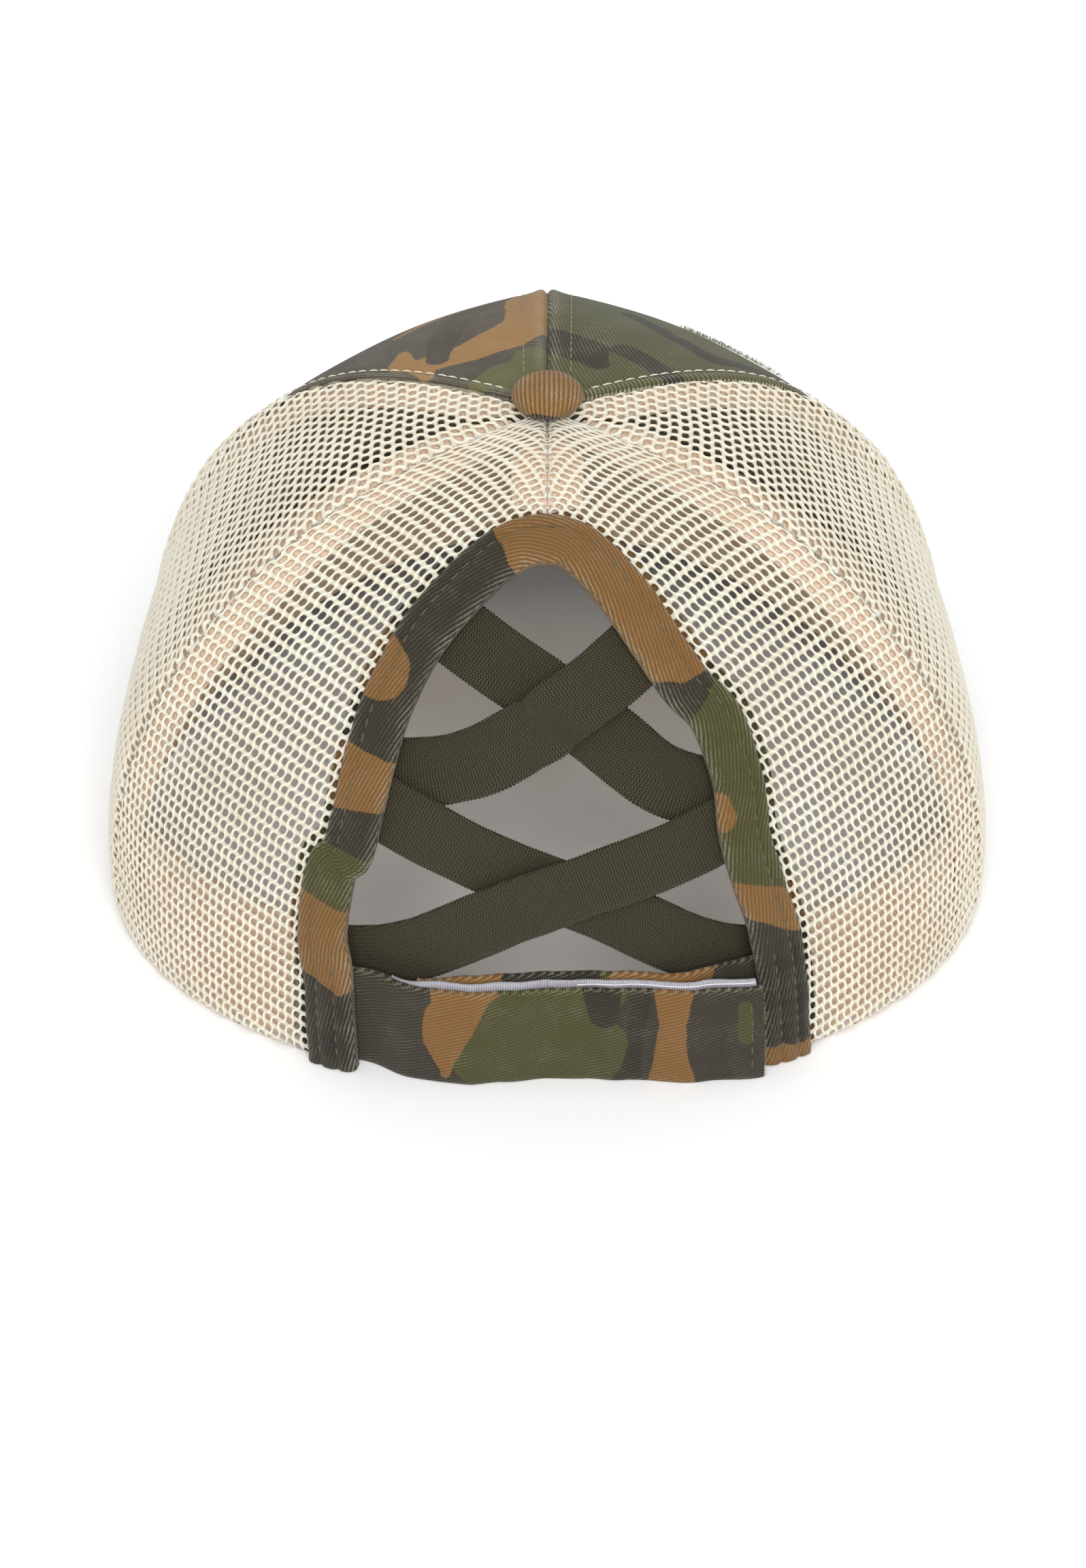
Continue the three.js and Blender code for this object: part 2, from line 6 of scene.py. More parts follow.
import bpy
import numpy as np
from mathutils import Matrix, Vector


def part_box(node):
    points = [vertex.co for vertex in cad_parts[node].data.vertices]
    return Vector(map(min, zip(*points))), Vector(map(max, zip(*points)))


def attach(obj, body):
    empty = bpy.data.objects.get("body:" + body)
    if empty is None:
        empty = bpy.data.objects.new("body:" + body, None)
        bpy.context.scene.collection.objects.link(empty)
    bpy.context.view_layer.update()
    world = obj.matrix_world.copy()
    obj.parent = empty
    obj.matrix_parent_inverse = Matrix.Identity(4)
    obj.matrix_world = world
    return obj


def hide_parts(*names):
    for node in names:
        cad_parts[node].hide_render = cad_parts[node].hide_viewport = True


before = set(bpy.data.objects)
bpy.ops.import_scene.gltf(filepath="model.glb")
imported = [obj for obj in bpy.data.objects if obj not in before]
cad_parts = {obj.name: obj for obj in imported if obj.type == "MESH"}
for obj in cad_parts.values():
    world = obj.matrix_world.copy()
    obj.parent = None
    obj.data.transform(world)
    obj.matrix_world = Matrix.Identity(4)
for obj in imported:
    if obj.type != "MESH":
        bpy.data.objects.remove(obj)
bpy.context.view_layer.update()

mm = 0.001
turn = 2 * math.pi
rng = np.random.default_rng(7)


# Helpers

def linear(hexColour):
    # sRGB hex to linear: c / 12.92 below 0.04045, else ((c + 0.055) / 1.055) to the power 2.4.
    parts = [int(hexColour[i:i + 2], 16) / 255 for i in (1, 3, 5)]
    return [c / 12.92 if c <= 0.04045 else ((c + 0.055) / 1.055) ** 2.4 for c in parts] + [1.0]


def ease(share):
    # 0 below 0, 1 above 1, and 3 s^2 - 2 s^3 between.
    s = np.clip(share, 0, 1)
    return s * s * (3 - 2 * s)


def unit(v):
    # v over its length.
    return v / np.maximum(np.linalg.norm(v, axis=-1, keepdims=True), 1e-12)


def dot(a, b):
    # Sum of a b over the last axis.
    return (a * b).sum(-1)


def wobble(x, y, size, seed=0):
    # A smooth bump field from -1 to 1: the mean of four sines of the place over `size`, each turned.
    total = 0
    for k in range(4):
        a = seed * 1.7 + k * 1.31
        phase = (x * math.cos(a) + y * math.sin(a)) * turn / (size * (1 + 0.23 * k))
        total = total + np.sin(phase + 2.1 * k + seed)
    return total / 4


def bell(distance, width):
    # 1 at distance 0, falling as exp(-(distance / width)^2).
    return np.exp(-((distance / width) ** 2))


def lengthsAlong(points):
    # How far along a polyline each of its points is.
    return np.concatenate([[0], np.cumsum(np.linalg.norm(np.diff(points, axis=0), axis=1))])


def makePiece(name, points, faces, material, nodes=(), attributes=None, creaseDegrees=50):
    # A mesh object from points in mm and faces given as rows of corner numbers, -1 where a row is shorter.
    points = np.asarray(points, dtype=np.float64).reshape(-1, 3)
    faces = np.asarray(faces, dtype=np.int64)
    counts = (faces >= 0).sum(1)
    corners = faces[faces >= 0]
    name = name.replace(" ", "_")
    mesh = bpy.data.meshes.new(name)
    mesh.vertices.add(len(points))
    mesh.vertices.foreach_set("co", (points * mm).astype(np.float32).ravel())
    mesh.loops.add(len(corners))
    mesh.loops.foreach_set("vertex_index", corners.astype(np.int32))
    mesh.polygons.add(len(counts))
    starts = np.concatenate([[0], np.cumsum(counts)[:-1]])
    mesh.polygons.foreach_set("loop_start", starts.astype(np.int32))
    mesh.polygons.foreach_set("loop_total", counts.astype(np.int32))
    mesh.polygons.foreach_set("use_smooth", np.ones(len(counts), dtype=bool))
    for label, values in (attributes or {}).items():
        values = np.asarray(values, dtype=np.float32)
        kind = "FLOAT_VECTOR" if values.ndim > 1 else "FLOAT"
        layer = mesh.attributes.new(label, kind, "POINT")
        layer.data.foreach_set("vector" if values.ndim > 1 else "value", values.ravel())
    mesh.update(calc_edges=True)
    mesh.validate()
    mesh.set_sharp_from_angle(angle=math.radians(creaseDegrees))
    mesh.materials.append(material)
    piece = bpy.data.objects.new(name, mesh)
    bpy.context.scene.collection.objects.link(piece)
    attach(piece, "root")
    if nodes:
        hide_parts(*nodes)
    return piece


def gridFaces(rows, columns, closedAround=False, start=0):
    # Quads of a grid of rows x columns points, numbered row by row from `start`.
    i = np.arange(rows - 1)[:, None]
    j = np.arange(columns if closedAround else columns - 1)[None, :]
    k = (j + 1) % columns
    here, above = i * columns, (i + 1) * columns
    quads = np.stack([here + j, here + k, above + k, above + j], -1)
    return quads.reshape(-1, 4) + start


def turnedOut(points, faces):
    # The faces, reversed if the signed volume, the sum of a . (b x c) / 6, says that they face in.
    p = np.asarray(points).reshape(-1, 3)
    volume = 0.0
    for third in (2, 3):
        rows = faces[faces[:, third] >= 0]
        a, b, c = p[rows[:, 0]], p[rows[:, third - 1]], p[rows[:, third]]
        volume += dot(a, np.cross(b, c)).sum()
    if volume >= 0:
        return faces
    flipped = faces[:, ::-1].copy()
    short = flipped[:, 0] < 0
    flipped[short] = np.roll(flipped[short], -1, axis=1)
    return flipped


def sheetMesh(face, back):
    # A closed wall from two grids of the same size: the face, the back, and a strip round their edge.
    rows, columns = face.shape[:2]
    count = rows * columns
    points = np.concatenate([face.reshape(-1, 3), back.reshape(-1, 3)])
    front = gridFaces(rows, columns)
    behind = gridFaces(rows, columns, start=count)[:, ::-1]
    number = np.arange(count).reshape(rows, columns)
    loop = np.concatenate([number[0, :-1], number[:-1, -1], number[-1, :0:-1], number[:0:-1, 0]])
    after = np.roll(loop, -1)
    edge = np.stack([loop, loop + count, after + count, after], -1)
    return points, turnedOut(points, np.concatenate([front, behind, edge]))


def sweptMesh(sections):
    # A closed tube through sections (stations x corners x 3), with a fan over each end.
    stations, corners = sections.shape[:2]
    sides = gridFaces(stations, corners, closedAround=True)
    points = np.concatenate([sections.reshape(-1, 3), [sections[0].mean(0)], [sections[-1].mean(0)]])
    j = np.arange(corners)
    k = (j + 1) % corners
    first, last = stations * corners, stations * corners + 1
    end = (stations - 1) * corners
    blank = np.full(corners, -1)
    caps = np.concatenate([
        np.stack([0 * j + first, k, j, blank], -1),
        np.stack([0 * j + last, end + j, end + k, blank], -1),
    ])
    return points, turnedOut(points, np.concatenate([sides, caps]))


def joined(parts):
    # Several (points, faces) as one, the corner numbers moved on by the points before them.
    points, faces, start = [], [], 0
    for p, f in parts:
        points.append(np.asarray(p).reshape(-1, 3))
        faces.append(np.where(f >= 0, f + start, -1))
        start += len(points[-1])
    return np.concatenate(points), np.concatenate(faces)


def repeated(faces, copies, step):
    # The faces of one small mesh for each of its copies, whose corner numbers are `step` apart.
    moved = faces[None] + (np.arange(copies) * step)[:, None, None]
    return np.where(faces[None] >= 0, moved, -1).reshape(-1, 4)


def twice(values):
    # The values of a sheet's face, repeated for its back.
    return np.concatenate([values.reshape(-1, *values.shape[2:])] * 2)


def withEnds(values):
    # The values of a tube's sections, then the mean of its first section and of its last.
    flat = values.reshape(-1, *values.shape[2:])
    return np.concatenate([flat, [values[0].mean(0)], [values[-1].mean(0)]])


def smoothLine(table, shares):
    # Centripetal Catmull-Rom through the rows of a table: knots spaced by the root of each chord.
    p = np.asarray(table, dtype=float)
    p = np.concatenate([[2 * p[0] - p[1]], p, [2 * p[-1] - p[-2]]])
    s = np.clip(np.asarray(shares, dtype=float), 0, 1) * (len(p) - 3)
    k = np.minimum(s.astype(int), len(p) - 4)
    w = (s - k)[..., None]
    p0, p1, p2, p3 = p[k], p[k + 1], p[k + 2], p[k + 3]
    t01, t12, t23 = [np.maximum(np.linalg.norm(b - a, axis=-1, keepdims=True) ** 0.5, 1e-6)
                     for a, b in ((p0, p1), (p1, p2), (p2, p3))]
    m1 = (p2 - p1) + t12 * ((p1 - p0) / t01 - (p2 - p0) / (t01 + t12))
    m2 = (p2 - p1) + t12 * ((p3 - p2) / t23 - (p3 - p1) / (t12 + t23))
    return ((2 * w**3 - 3 * w**2 + 1) * p1 + (w**3 - 2 * w**2 + w) * m1
            + (3 * w**2 - 2 * w**3) * p2 + (w**3 - w**2) * m2)


def evened(values, reach):
    # Each row as the mean of the rows within `reach` of it, weighted by 1 + cos; the ends stay put.
    weights = 1 + np.cos(np.pi * np.arange(-reach, reach + 1) / (reach + 1))
    before = 2 * values[:1] - values[reach:0:-1]
    after = 2 * values[-1:] - values[-2:-reach - 2:-1]
    padded = np.concatenate([before, values, after])
    return sum(w * padded[k:k + len(values)] for k, w in enumerate(weights)) / weights.sum()


# Crown: the same superellipse dome as the solids have

crown = {
    "halfWidth": 95.8, "back": 69.8, "front": 101.8, "height": 118.6, "topForward": 11.6,
    "rimClear": 0.4, "frontLift": 20.0, "sideBulge": 0.034, "flatness": 0.85,
    "wall": 1.2, "topHole": 3.5,
    "plan": (2.47, 3.37, 2.88), "rise": (2.35, 2.06, 2.92),  # at the back, side and front
    "rearSeam": (78.1, 54.1), "frontSeam": (117.2, 118.0),  # degrees at the rim and at the top
}
buttonLow, buttonHigh = [np.array(p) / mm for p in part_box("top_button")]
shiftY = (buttonLow[1] + buttonHigh[1]) / 2 - crown["topForward"]


def seamsAt(up):
    # Azimuths of the rear and the front seam, each from its rim value to its top value as up goes 0 to 1.
    return [np.radians(a + (b - a) * up) for a, b in (crown["rearSeam"], crown["frontSeam"])]


def rimLift(azimuth):
    # Height of the rim: the clearance plus the lift times the square of how far forward it looks.
    return crown["rimClear"] + crown["frontLift"] * np.maximum(-np.cos(azimuth), 0) ** 2


def exponent(azimuth, name):
    # side + (end - side) cos^2, where end is the back's value or the front's.
    back, side, front = crown[name]
    c = np.cos(azimuth)
    return side + (np.where(c > 0, back, front) - side) * c * c


def crownAt(azimuth, up):
    # Superellipse dome: reach = cos(rise)^(2/plan) less the flats between seams, height = sin(rise)^(2/rise).
    azimuth, up = np.broadcast_arrays(np.asarray(azimuth, float), np.asarray(up, float))
    s, c = np.sin(azimuth), np.cos(azimuth)
    rise = up * math.pi / 2
    sinRise = np.maximum(np.sin(rise), 0)
    spread = np.maximum(np.cos(rise), 0) ** (2 / exponent(azimuth, "plan"))
    height = sinRise ** (2 / exponent(azimuth, "rise"))
    turned = np.abs(np.arctan2(s, c))
    rear, front = seamsAt(up)
    low = np.where(turned < rear, 0, np.where(turned < front, rear, front))
    high = np.where(turned < rear, rear, np.where(turned < front, front, math.pi))
    share = 2 * (turned - low) / (high - low) - 1
    ridge = math.cos(math.pi / 6) / np.cos(math.pi / 6 * share)
    flat = 1 - crown["flatness"] * sinRise**1.2 * (1 - ridge)
    bulge = 1 + crown["sideBulge"] * np.sin(np.minimum(up / 0.6, 1) * math.pi) * s * s
    reach = spread * flat * bulge
    depth = np.where(c > 0, crown["back"], crown["front"])
    base = rimLift(azimuth)
    return np.stack([
        crown["halfWidth"] * s * reach,
        crown["topForward"] * (1 - reach) - depth * c * reach + shiftY,
        base + (crown["height"] - base) * height,
    ], -1)


def crownSlopes(azimuth, up):
    # How the crown's point moves per radian of azimuth and per unit of up, by central differences.
    step = 1e-3
    low, high = np.maximum(up - step, 0), np.minimum(up + step, 1)
    across = (crownAt(azimuth + step, up) - crownAt(azimuth - step, up)) / (2 * step)
    rising = (crownAt(azimuth, high) - crownAt(azimuth, low)) / (high - low)[..., None]
    return across, rising


def paceAt(azimuth, up):
    # How many mm a row of the crown runs per radian of azimuth.
    return np.linalg.norm(crownSlopes(azimuth, up)[0], axis=-1)


def fromAxis(points):
    # Distance from the button's upright axis.
    return np.hypot(points[..., 0], points[..., 1] - crown["topForward"] - shiftY)


def wayOut(azimuth, up):
    # Unit normal of the crown: across x rising.
    across, rising = crownSlopes(*np.broadcast_arrays(azimuth, up))
    return unit(np.cross(across, rising))


def onCrown(azimuth, up, out):
    # The crown's point moved `out` mm along its normal.
    azimuth, up, out = np.broadcast_arrays(azimuth, up, out)
    return crownAt(azimuth, up) + wayOut(azimuth, up) * out[..., None]


def upAtHeight(azimuth, height):
    # How far up the crown a height above the rim is: the inverse of the height formula.
    share = height / (crown["height"] - rimLift(azimuth))
    return np.arcsin(np.clip(share, 0, 1) ** (exponent(azimuth, "rise") / 2)) * 2 / math.pi


def upAtRadius(azimuth, radius):
    # Up where the crown comes within a radius of the button's axis, by halving the range 30 times.
    azimuth = np.asarray(azimuth, float)
    low, high = np.full(azimuth.shape, 0.5), np.ones(azimuth.shape)
    for _ in range(30):
        middle = (low + high) / 2
        outside = fromAxis(crownAt(azimuth, middle)) > radius
        low, high = np.where(outside, middle, low), np.where(outside, high, middle)
    return low


def besideRim(azimuth, out, height):
    # A point `out` mm outside the crown at a height, level with that height.
    azimuth, out, height = np.broadcast_arrays(azimuth, out, height)
    p = onCrown(azimuth, upAtHeight(azimuth, np.maximum(height - crown["rimClear"], 0)), out)
    p[..., 2] = height
    return p


# Materials

def addNode(tree, kind, inputs=None, **settings):
    # A shader node with its settings; an input is a value, a socket, or a node whose first output is meant.
    made = tree.nodes.new("ShaderNode" + kind)
    for key, value in settings.items():
        setattr(made, key, value)
    for key, value in (inputs or {}).items():
        if isinstance(value, bpy.types.Node):
            value = value.outputs[0]
        if isinstance(value, bpy.types.NodeSocket):
            tree.links.new(value, made.inputs[key])
        else:
            made.inputs[key].default_value = value
    return made


def newMaterial(name, **values):
    # An empty material with a Principled shader whose fixed values are set on its own sockets.
    material = bpy.data.materials.new(name)
    material.use_nodes = True
    tree = material.node_tree
    shader = tree.nodes["Principled BSDF"]
    for key, value in values.items():
        shader.inputs[key].default_value = value
    return material, tree, shader


def washedTwill(name, look):
    # Printed cotton twill, washed: matt, with raised diagonal ribs that the wash has paled on top, and
    # print patches whose edges the thread breaks up. `clothPlace` is the place on the cloth in mm, `print`
    # holds the distance in mm to the edge of each print colour, below 0 inside it.
    material, tree, shader = newMaterial(name, **{
        "Roughness": 0.92, "Sheen Weight": 0.12, "Sheen Roughness": 0.5, "Specular IOR Level": 0.25})
    node = partial(addNode, tree)
    place = node("Attribute", attribute_name="clothPlace").outputs["Vector"]
    fields = node("Attribute", attribute_name="print").outputs["Vector"]
    wear = node("Attribute", attribute_name="wear").outputs["Fac"]
    angle = math.radians(look["ribAngle"])
    ribRate, plyRate = turn / look["ribPitch"], turn / (look["ribPitch"] * 0.62)
    ragged = node("TexNoise", {"Vector": place, "Scale": 1.6, "Detail": 3.0, "Roughness": 0.6})
    raggedMm = node("Math", {0: ragged, 1: 0.9, 2: -0.45}, operation="MULTIPLY_ADD")
    colour = None
    split = node("SeparateXYZ", {0: fields})
    for socket, tone in zip(("X", "Y", "Z"), look["colours"][1:]):
        edge = node("Math", {0: split.outputs[socket], 1: raggedMm}, operation="ADD")
        inside = node("MapRange", {0: edge, 1: 0.15, 2: -0.15, 3: 0.0, 4: 1.0})
        mix = node("Mix", {"Factor": inside, "B": linear(tone)}, data_type="RGBA")
        if colour is None:
            mix.inputs["A"].default_value = linear(look["colours"][0])
        else:
            tree.links.new(colour, mix.inputs["A"])
        colour = mix.outputs["Result"]
    drift = node("TexNoise", {"Vector": place, "Scale": 0.3, "Detail": 2.0})
    turned = node("Mapping", {"Vector": place, "Rotation": (0, 0, angle)}, vector_type="TEXTURE")
    lines = node("SeparateXYZ", {0: turned})
    lean = node("Math", {0: drift, 1: 1.6}, operation="MULTIPLY")
    ribTurn = node("Math", {0: lines.outputs["Y"], 1: ribRate, 2: lean}, operation="MULTIPLY_ADD")
    rib = node("Math", {0: ribTurn}, operation="SINE")
    twist = node("Math", {0: lines.outputs["X"], 1: plyRate, 2: ribTurn}, operation="MULTIPLY_ADD")
    ply = node("Math", {0: twist}, operation="SINE")
    weave = node("Math", {0: ply, 1: 0.5, 2: rib}, operation="MULTIPLY_ADD")
    stretched = node("Mapping", {"Vector": turned, "Scale": (0.45, 1.6, 1.0)})
    streak = node("TexNoise", {"Vector": stretched, "Scale": 1.6, "Detail": 4.0, "Roughness": 0.7})
    grain = node("TexNoise", {"Vector": place, "Scale": 2.6, "Detail": 4.0, "Roughness": 0.85})
    streaked = node("Math", {0: streak, 1: 2.4, 2: weave}, operation="MULTIPLY_ADD")
    grainHeight = node("Math", {0: grain, 1: 3.4, 2: streaked}, operation="MULTIPLY_ADD")
    shade = node("MapRange", {0: grainHeight, 1: 1.4, 2: 4.4, 3: 0.0, 4: 1.0})
    ramp = node("ValToRGB", {0: shade})
    low, high = ramp.color_ramp.elements
    low.position, low.color = 0.0, linear(look["valley"])
    high.position, high.color = 1.0, linear(look["top"])
    shaded = node("Mix", {"Factor": 1.0, "A": colour, "B": ramp}, data_type="RGBA", blend_type="MULTIPLY")
    half = shaded.outputs["Result"]  # the ramp's greys are about a half, so the shaded colour is doubled
    doubled = node("Mix", {"Factor": 1.0, "A": half, "B": half}, data_type="RGBA", blend_type="ADD")
    patchy = node("TexNoise", {"Vector": place, "Scale": 0.12, "Detail": 5.0, "Roughness": 0.7})
    rubbed = node("Math", {0: patchy, 1: 0.9, 2: wear}, operation="MULTIPLY_ADD")
    rubbedTop = node("Math", {0: rubbed, 1: shade}, operation="MULTIPLY")
    pale = node("MapRange", {0: rubbedTop, 1: 0.4, 2: 1.2, 3: 0.0, 4: 0.6})
    tones = {"Factor": pale, "A": doubled.outputs["Result"], "B": linear(look["worn"])}
    worn = node("Mix", tones, data_type="RGBA")
    tree.links.new(worn.outputs["Result"], shader.inputs["Base Color"])
    bump = node("Bump", {"Strength": 0.4, "Distance": 0.00012, "Height": grainHeight})
    tree.links.new(bump.outputs[0], shader.inputs["Normal"])
    return material


def knittedNet(name, look):
    # Warp-knitted polyester net, heat set: smooth cream filaments with a soft gloss, ladder threads across
    # the flats. `netPlace` is the way from the hole's middle line, the place along the strip and the height
    # of the thread, in mm.
    material, tree, shader = newMaterial(name, **{
        "Roughness": 0.5, "Sheen Weight": 0.1, "Specular IOR Level": 0.4,
        "Subsurface Weight": 0.9, "Subsurface Scale": 0.0008, "Subsurface Radius": (1.0, 0.85, 0.7)})
    node = partial(addNode, tree)
    place = node("Attribute", attribute_name="netPlace").outputs["Vector"]
    rungs = node("VectorMath", {0: place, 1: [0, turn / look["rungPitch"], 0]}, operation="DOT_PRODUCT")
    strands = node("VectorMath", {0: place, 1: [turn / look["strandPitch"], 0, 0]}, operation="DOT_PRODUCT")
    rung = node("Math", {0: rungs.outputs["Value"]}, operation="SINE")
    strand = node("Math", {0: strands.outputs["Value"]}, operation="SINE")
    split = node("SeparateXYZ", {0: place})
    aside = node("Math", {0: split.outputs["X"]}, operation="ABSOLUTE")
    onRope = node("MapRange", {0: aside, 1: look["ropeFrom"], 2: look["ropeFrom"] + 0.12, 3: 0.0, 4: 1.0})
    height = node("Mix", {"Factor": onRope, "A": rung, "B": strand}, data_type="FLOAT").outputs["Result"]
    tone = node("MapRange", {0: height, 1: -1.0, 2: 1.0, 3: 0.0, 4: 1.0})
    dirt = node("TexNoise", {"Vector": node("TexCoord").outputs["Object"], "Scale": 60.0, "Detail": 3.0})
    # Painted shade: the net's colour darkens where its thread lies lower, at the holes' edges and most on its
    # inner face, and lightens on the ropes' tops.
    heightShade = node("MapRange", {0: split.outputs["Z"], 1: -0.05, 2: 0.3, 3: -0.25, 4: 0.35})
    toneAndShade = node("Math", {0: tone, 1: 0.45, 2: heightShade}, operation="MULTIPLY_ADD")
    mixed = node("Math", {0: dirt, 1: 0.5, 2: toneAndShade}, operation="MULTIPLY_ADD")
    ramp = node("ValToRGB", {0: mixed})
    low, high = ramp.color_ramp.elements
    low.position, low.color = 0.0, linear(look["valley"])
    high.position, high.color = 0.75, linear(look["top"])
    tree.links.new(ramp.outputs[0], shader.inputs["Base Color"])
    bump = node("Bump", {"Strength": 0.5, "Distance": 0.00008, "Height": height})
    tree.links.new(bump.outputs[0], shader.inputs["Normal"])
    return material


def wovenElastic(name, look):
    # Knitted elastic webbing: matt olive threads in a herringbone of fine slanted stitches, with dark gaps.
    # `clothPlace` is along and across the strap in mm.
    material, tree, shader = newMaterial(name, **{
        "Roughness": 0.85, "Sheen Weight": 0.08, "Sheen Roughness": 0.4, "Specular IOR Level": 0.3})
    node = partial(addNode, tree)
    place = node("Attribute", attribute_name="clothPlace").outputs["Vector"]
    split = node("SeparateXYZ", {0: place})
    fold = node("Math", {0: split.outputs["Y"], 1: look["columnWidth"]}, operation="PINGPONG")
    lean = node("Math", {0: fold, 1: look["slant"], 2: split.outputs["X"]}, operation="MULTIPLY_ADD")
    stitchTurn = node("Math", {0: lean, 1: turn / look["stitchPitch"]}, operation="MULTIPLY")
    stitch = node("Math", {0: stitchTurn}, operation="SINE")
    columnTurn = node("Math", {0: split.outputs["Y"], 1: turn / look["columnWidth"]}, operation="MULTIPLY")
    column = node("Math", {0: columnTurn}, operation="COSINE")
    knit = node("Math", {0: column, 1: 0.45, 2: stitch}, operation="MULTIPLY_ADD")
    grain = node("TexNoise", {"Vector": place, "Scale": 1.9, "Detail": 4.0, "Roughness": 0.8})
    height = node("Math", {0: grain, 1: 2.6, 2: knit}, operation="MULTIPLY_ADD")
    tone = node("MapRange", {0: height, 1: 0.1, 2: 2.6, 3: 0.0, 4: 1.0})
    ramp = node("ValToRGB", {0: tone})
    low, high = ramp.color_ramp.elements
    low.position, low.color = 0.05, linear(look["gap"])
    high.position, high.color = 0.85, linear(look["thread"])
    tree.links.new(ramp.outputs[0], shader.inputs["Base Color"])
    bump = node("Bump", {"Strength": 0.6, "Distance": 0.00014, "Height": height})
    tree.links.new(bump.outputs[0], shader.inputs["Normal"])
    return material


def plainTape(name, look):
    # Plain-woven tape: fine threads over and under, so a small checker of warp and weft with soft lint.
    material, tree, shader = newMaterial(name, **{
        "Roughness": look["roughness"], "Sheen Weight": 0.1, "Specular IOR Level": 0.3})
    node = partial(addNode, tree)
    place = node("Attribute", attribute_name="clothPlace").outputs["Vector"]
    warp = node("VectorMath", {0: place, 1: [turn / look["warpPitch"], 0, 0]}, operation="DOT_PRODUCT")
    weft = node("VectorMath", {0: place, 1: [0, turn / look["weftPitch"], 0]}, operation="DOT_PRODUCT")
    warpWave = node("Math", {0: warp.outputs["Value"]}, operation="SINE")
    weftWave = node("Math", {0: weft.outputs["Value"]}, operation="SINE")
    height = node("Math", {0: weftWave, 1: look["weftShare"], 2: warpWave}, operation="MULTIPLY_ADD")
    lint = node("TexNoise", {"Vector": place, "Scale": 0.5, "Detail": 5.0, "Roughness": 0.7})
    mixed = node("Math", {0: lint, 1: 2.0, 2: height}, operation="MULTIPLY_ADD")
    tone = node("MapRange", {0: mixed, 1: -0.8, 2: 2.6, 3: 0.0, 4: 1.0})
    ramp = node("ValToRGB", {0: tone})
    low, high = ramp.color_ramp.elements
    low.position, low.color = 0.05, linear(look["valley"])
    high.position, high.color = 0.8, linear(look["top"])
    tree.links.new(ramp.outputs[0], shader.inputs["Base Color"])
    bump = node("Bump", {"Strength": 0.5, "Distance": 0.0001, "Height": mixed})
    tree.links.new(bump.outputs[0], shader.inputs["Normal"])
    return material


def sewingThread(name, light, dark):
    # Spun polyester sewing thread: a fine mottle of a light and a dark tone, as its plies turn.
    material, tree, shader = newMaterial(name, **{"Roughness": 0.6, "Sheen Weight": 0.1})
    node = partial(addNode, tree)
    place = node("TexCoord").outputs["Object"]
    twist = node("TexNoise", {"Vector": place, "Scale": 3000.0, "Detail": 2.0})
    tone = node("Mix", {"Factor": twist, "A": linear(dark), "B": linear(light)}, data_type="RGBA")
    tree.links.new(tone.outputs["Result"], shader.inputs["Base Color"])
    return material


printedTwill = washedTwill("Printed cotton twill", {
    "ribAngle": 20, "ribPitch": 0.78, "valley": "#8d8a84", "top": "#bab7b0", "worn": "#b9b39c",
    "colours": ["#3f3a32", "#50502f", "#8a653a", "#37322b"],
})
bindingTwill = washedTwill("Printed cotton twill, cut on the bias", {
    "ribAngle": -15, "ribPitch": 0.78, "valley": "#8d8a84", "top": "#bab7b0", "worn": "#b9b39c",
    "colours": ["#3b362e", "#50502f", "#85633a", "#322e27"],
})
# Painted light, in part: the front panels are the same printed twill as the straps, given lighter colours for
# the light that falls on these upward-facing panels; the left set is lighter again than the right.
frontTwillPaintedLight = {}
for name, angle, pitch, colours in (
        ("left", -51, 0.6, ["#5a544a", "#6a6c49", "#ab8452", "#4f4a40"]),
        ("right", -44, 0.8, ["#4f4a40", "#5c5e40", "#ab8452", "#3f3b32"])):
    frontTwillPaintedLight[name] = washedTwill(f"Printed cotton twill on buckram {name}", {
        "ribAngle": angle, "ribPitch": pitch, "valley": "#8d8a84", "top": "#bab7b0", "worn": "#c2bca4",
        "colours": colours,
    })
buttonTwill = washedTwill("Printed cotton twill over the button", {
    "ribAngle": 90, "ribPitch": 1.0, "valley": "#7d7a74", "top": "#bab7b0", "worn": "#b9b39c",
    "colours": ["#47423a", "#62623f", "#94703f", "#403b32"],
})
creamNet = knittedNet("Cream polyester net", {
    "valley": "#b5a78b", "top": "#eee6d4", "rungPitch": 0.28, "strandPitch": 0.3, "ropeFrom": 0.62})
oliveElastic = wovenElastic("Olive knitted elastic", {
    "gap": "#15130b", "thread": "#4b4530", "columnWidth": 0.5, "slant": 0.8, "stitchPitch": 0.66})
peachTape = plainTape("Peach cotton tape", {
    "valley": "#e6c8a9", "top": "#fbe3cb", "warpPitch": 0.45, "weftPitch": 0.4, "weftShare": 0.8,
    "roughness": 0.95})
lavenderTape = plainTape("Lavender nylon hook tape", {
    "valley": "#77757d", "top": "#bbb9c1", "warpPitch": 0.52, "weftPitch": 0.35, "weftShare": 0.15,
    "roughness": 0.6})
creamThread = sewingThread("Cream sewing thread", "#efe9d8", "#c9c0a8")
oliveThread = sewingThread("Olive sewing thread", "#6c6a44", "#4a4830")
paleOliveThread = sewingThread("Washed olive sewing thread", "#a39e7e", "#7c7856")
lintThread = sewingThread("Loose washed threads", "#9c9c7c", "#5f6045")
whiteThread = sewingThread("White nylon edge", "#eeeef0", "#d2d2d6")
print("materials made")


# Print patches

def patchDistance(x, y, rows):
    # Distance in mm to a union of tapered capsules: |p - nearest point of the line| - radius.
    best = np.full(np.shape(x), 99.0)
    for x0, y0, r0, x1, y1, r1 in rows:
        dx, dy = x1 - x0, y1 - y0
        share = np.clip(((x - x0) * dx + (y - y0) * dy) / max(dx * dx + dy * dy, 1e-9), 0, 1)
        away = np.hypot(x - x0 - dx * share, y - y0 - dy * share) - (r0 + (r1 - r0) * share)
        best = np.minimum(best, away)
    return best


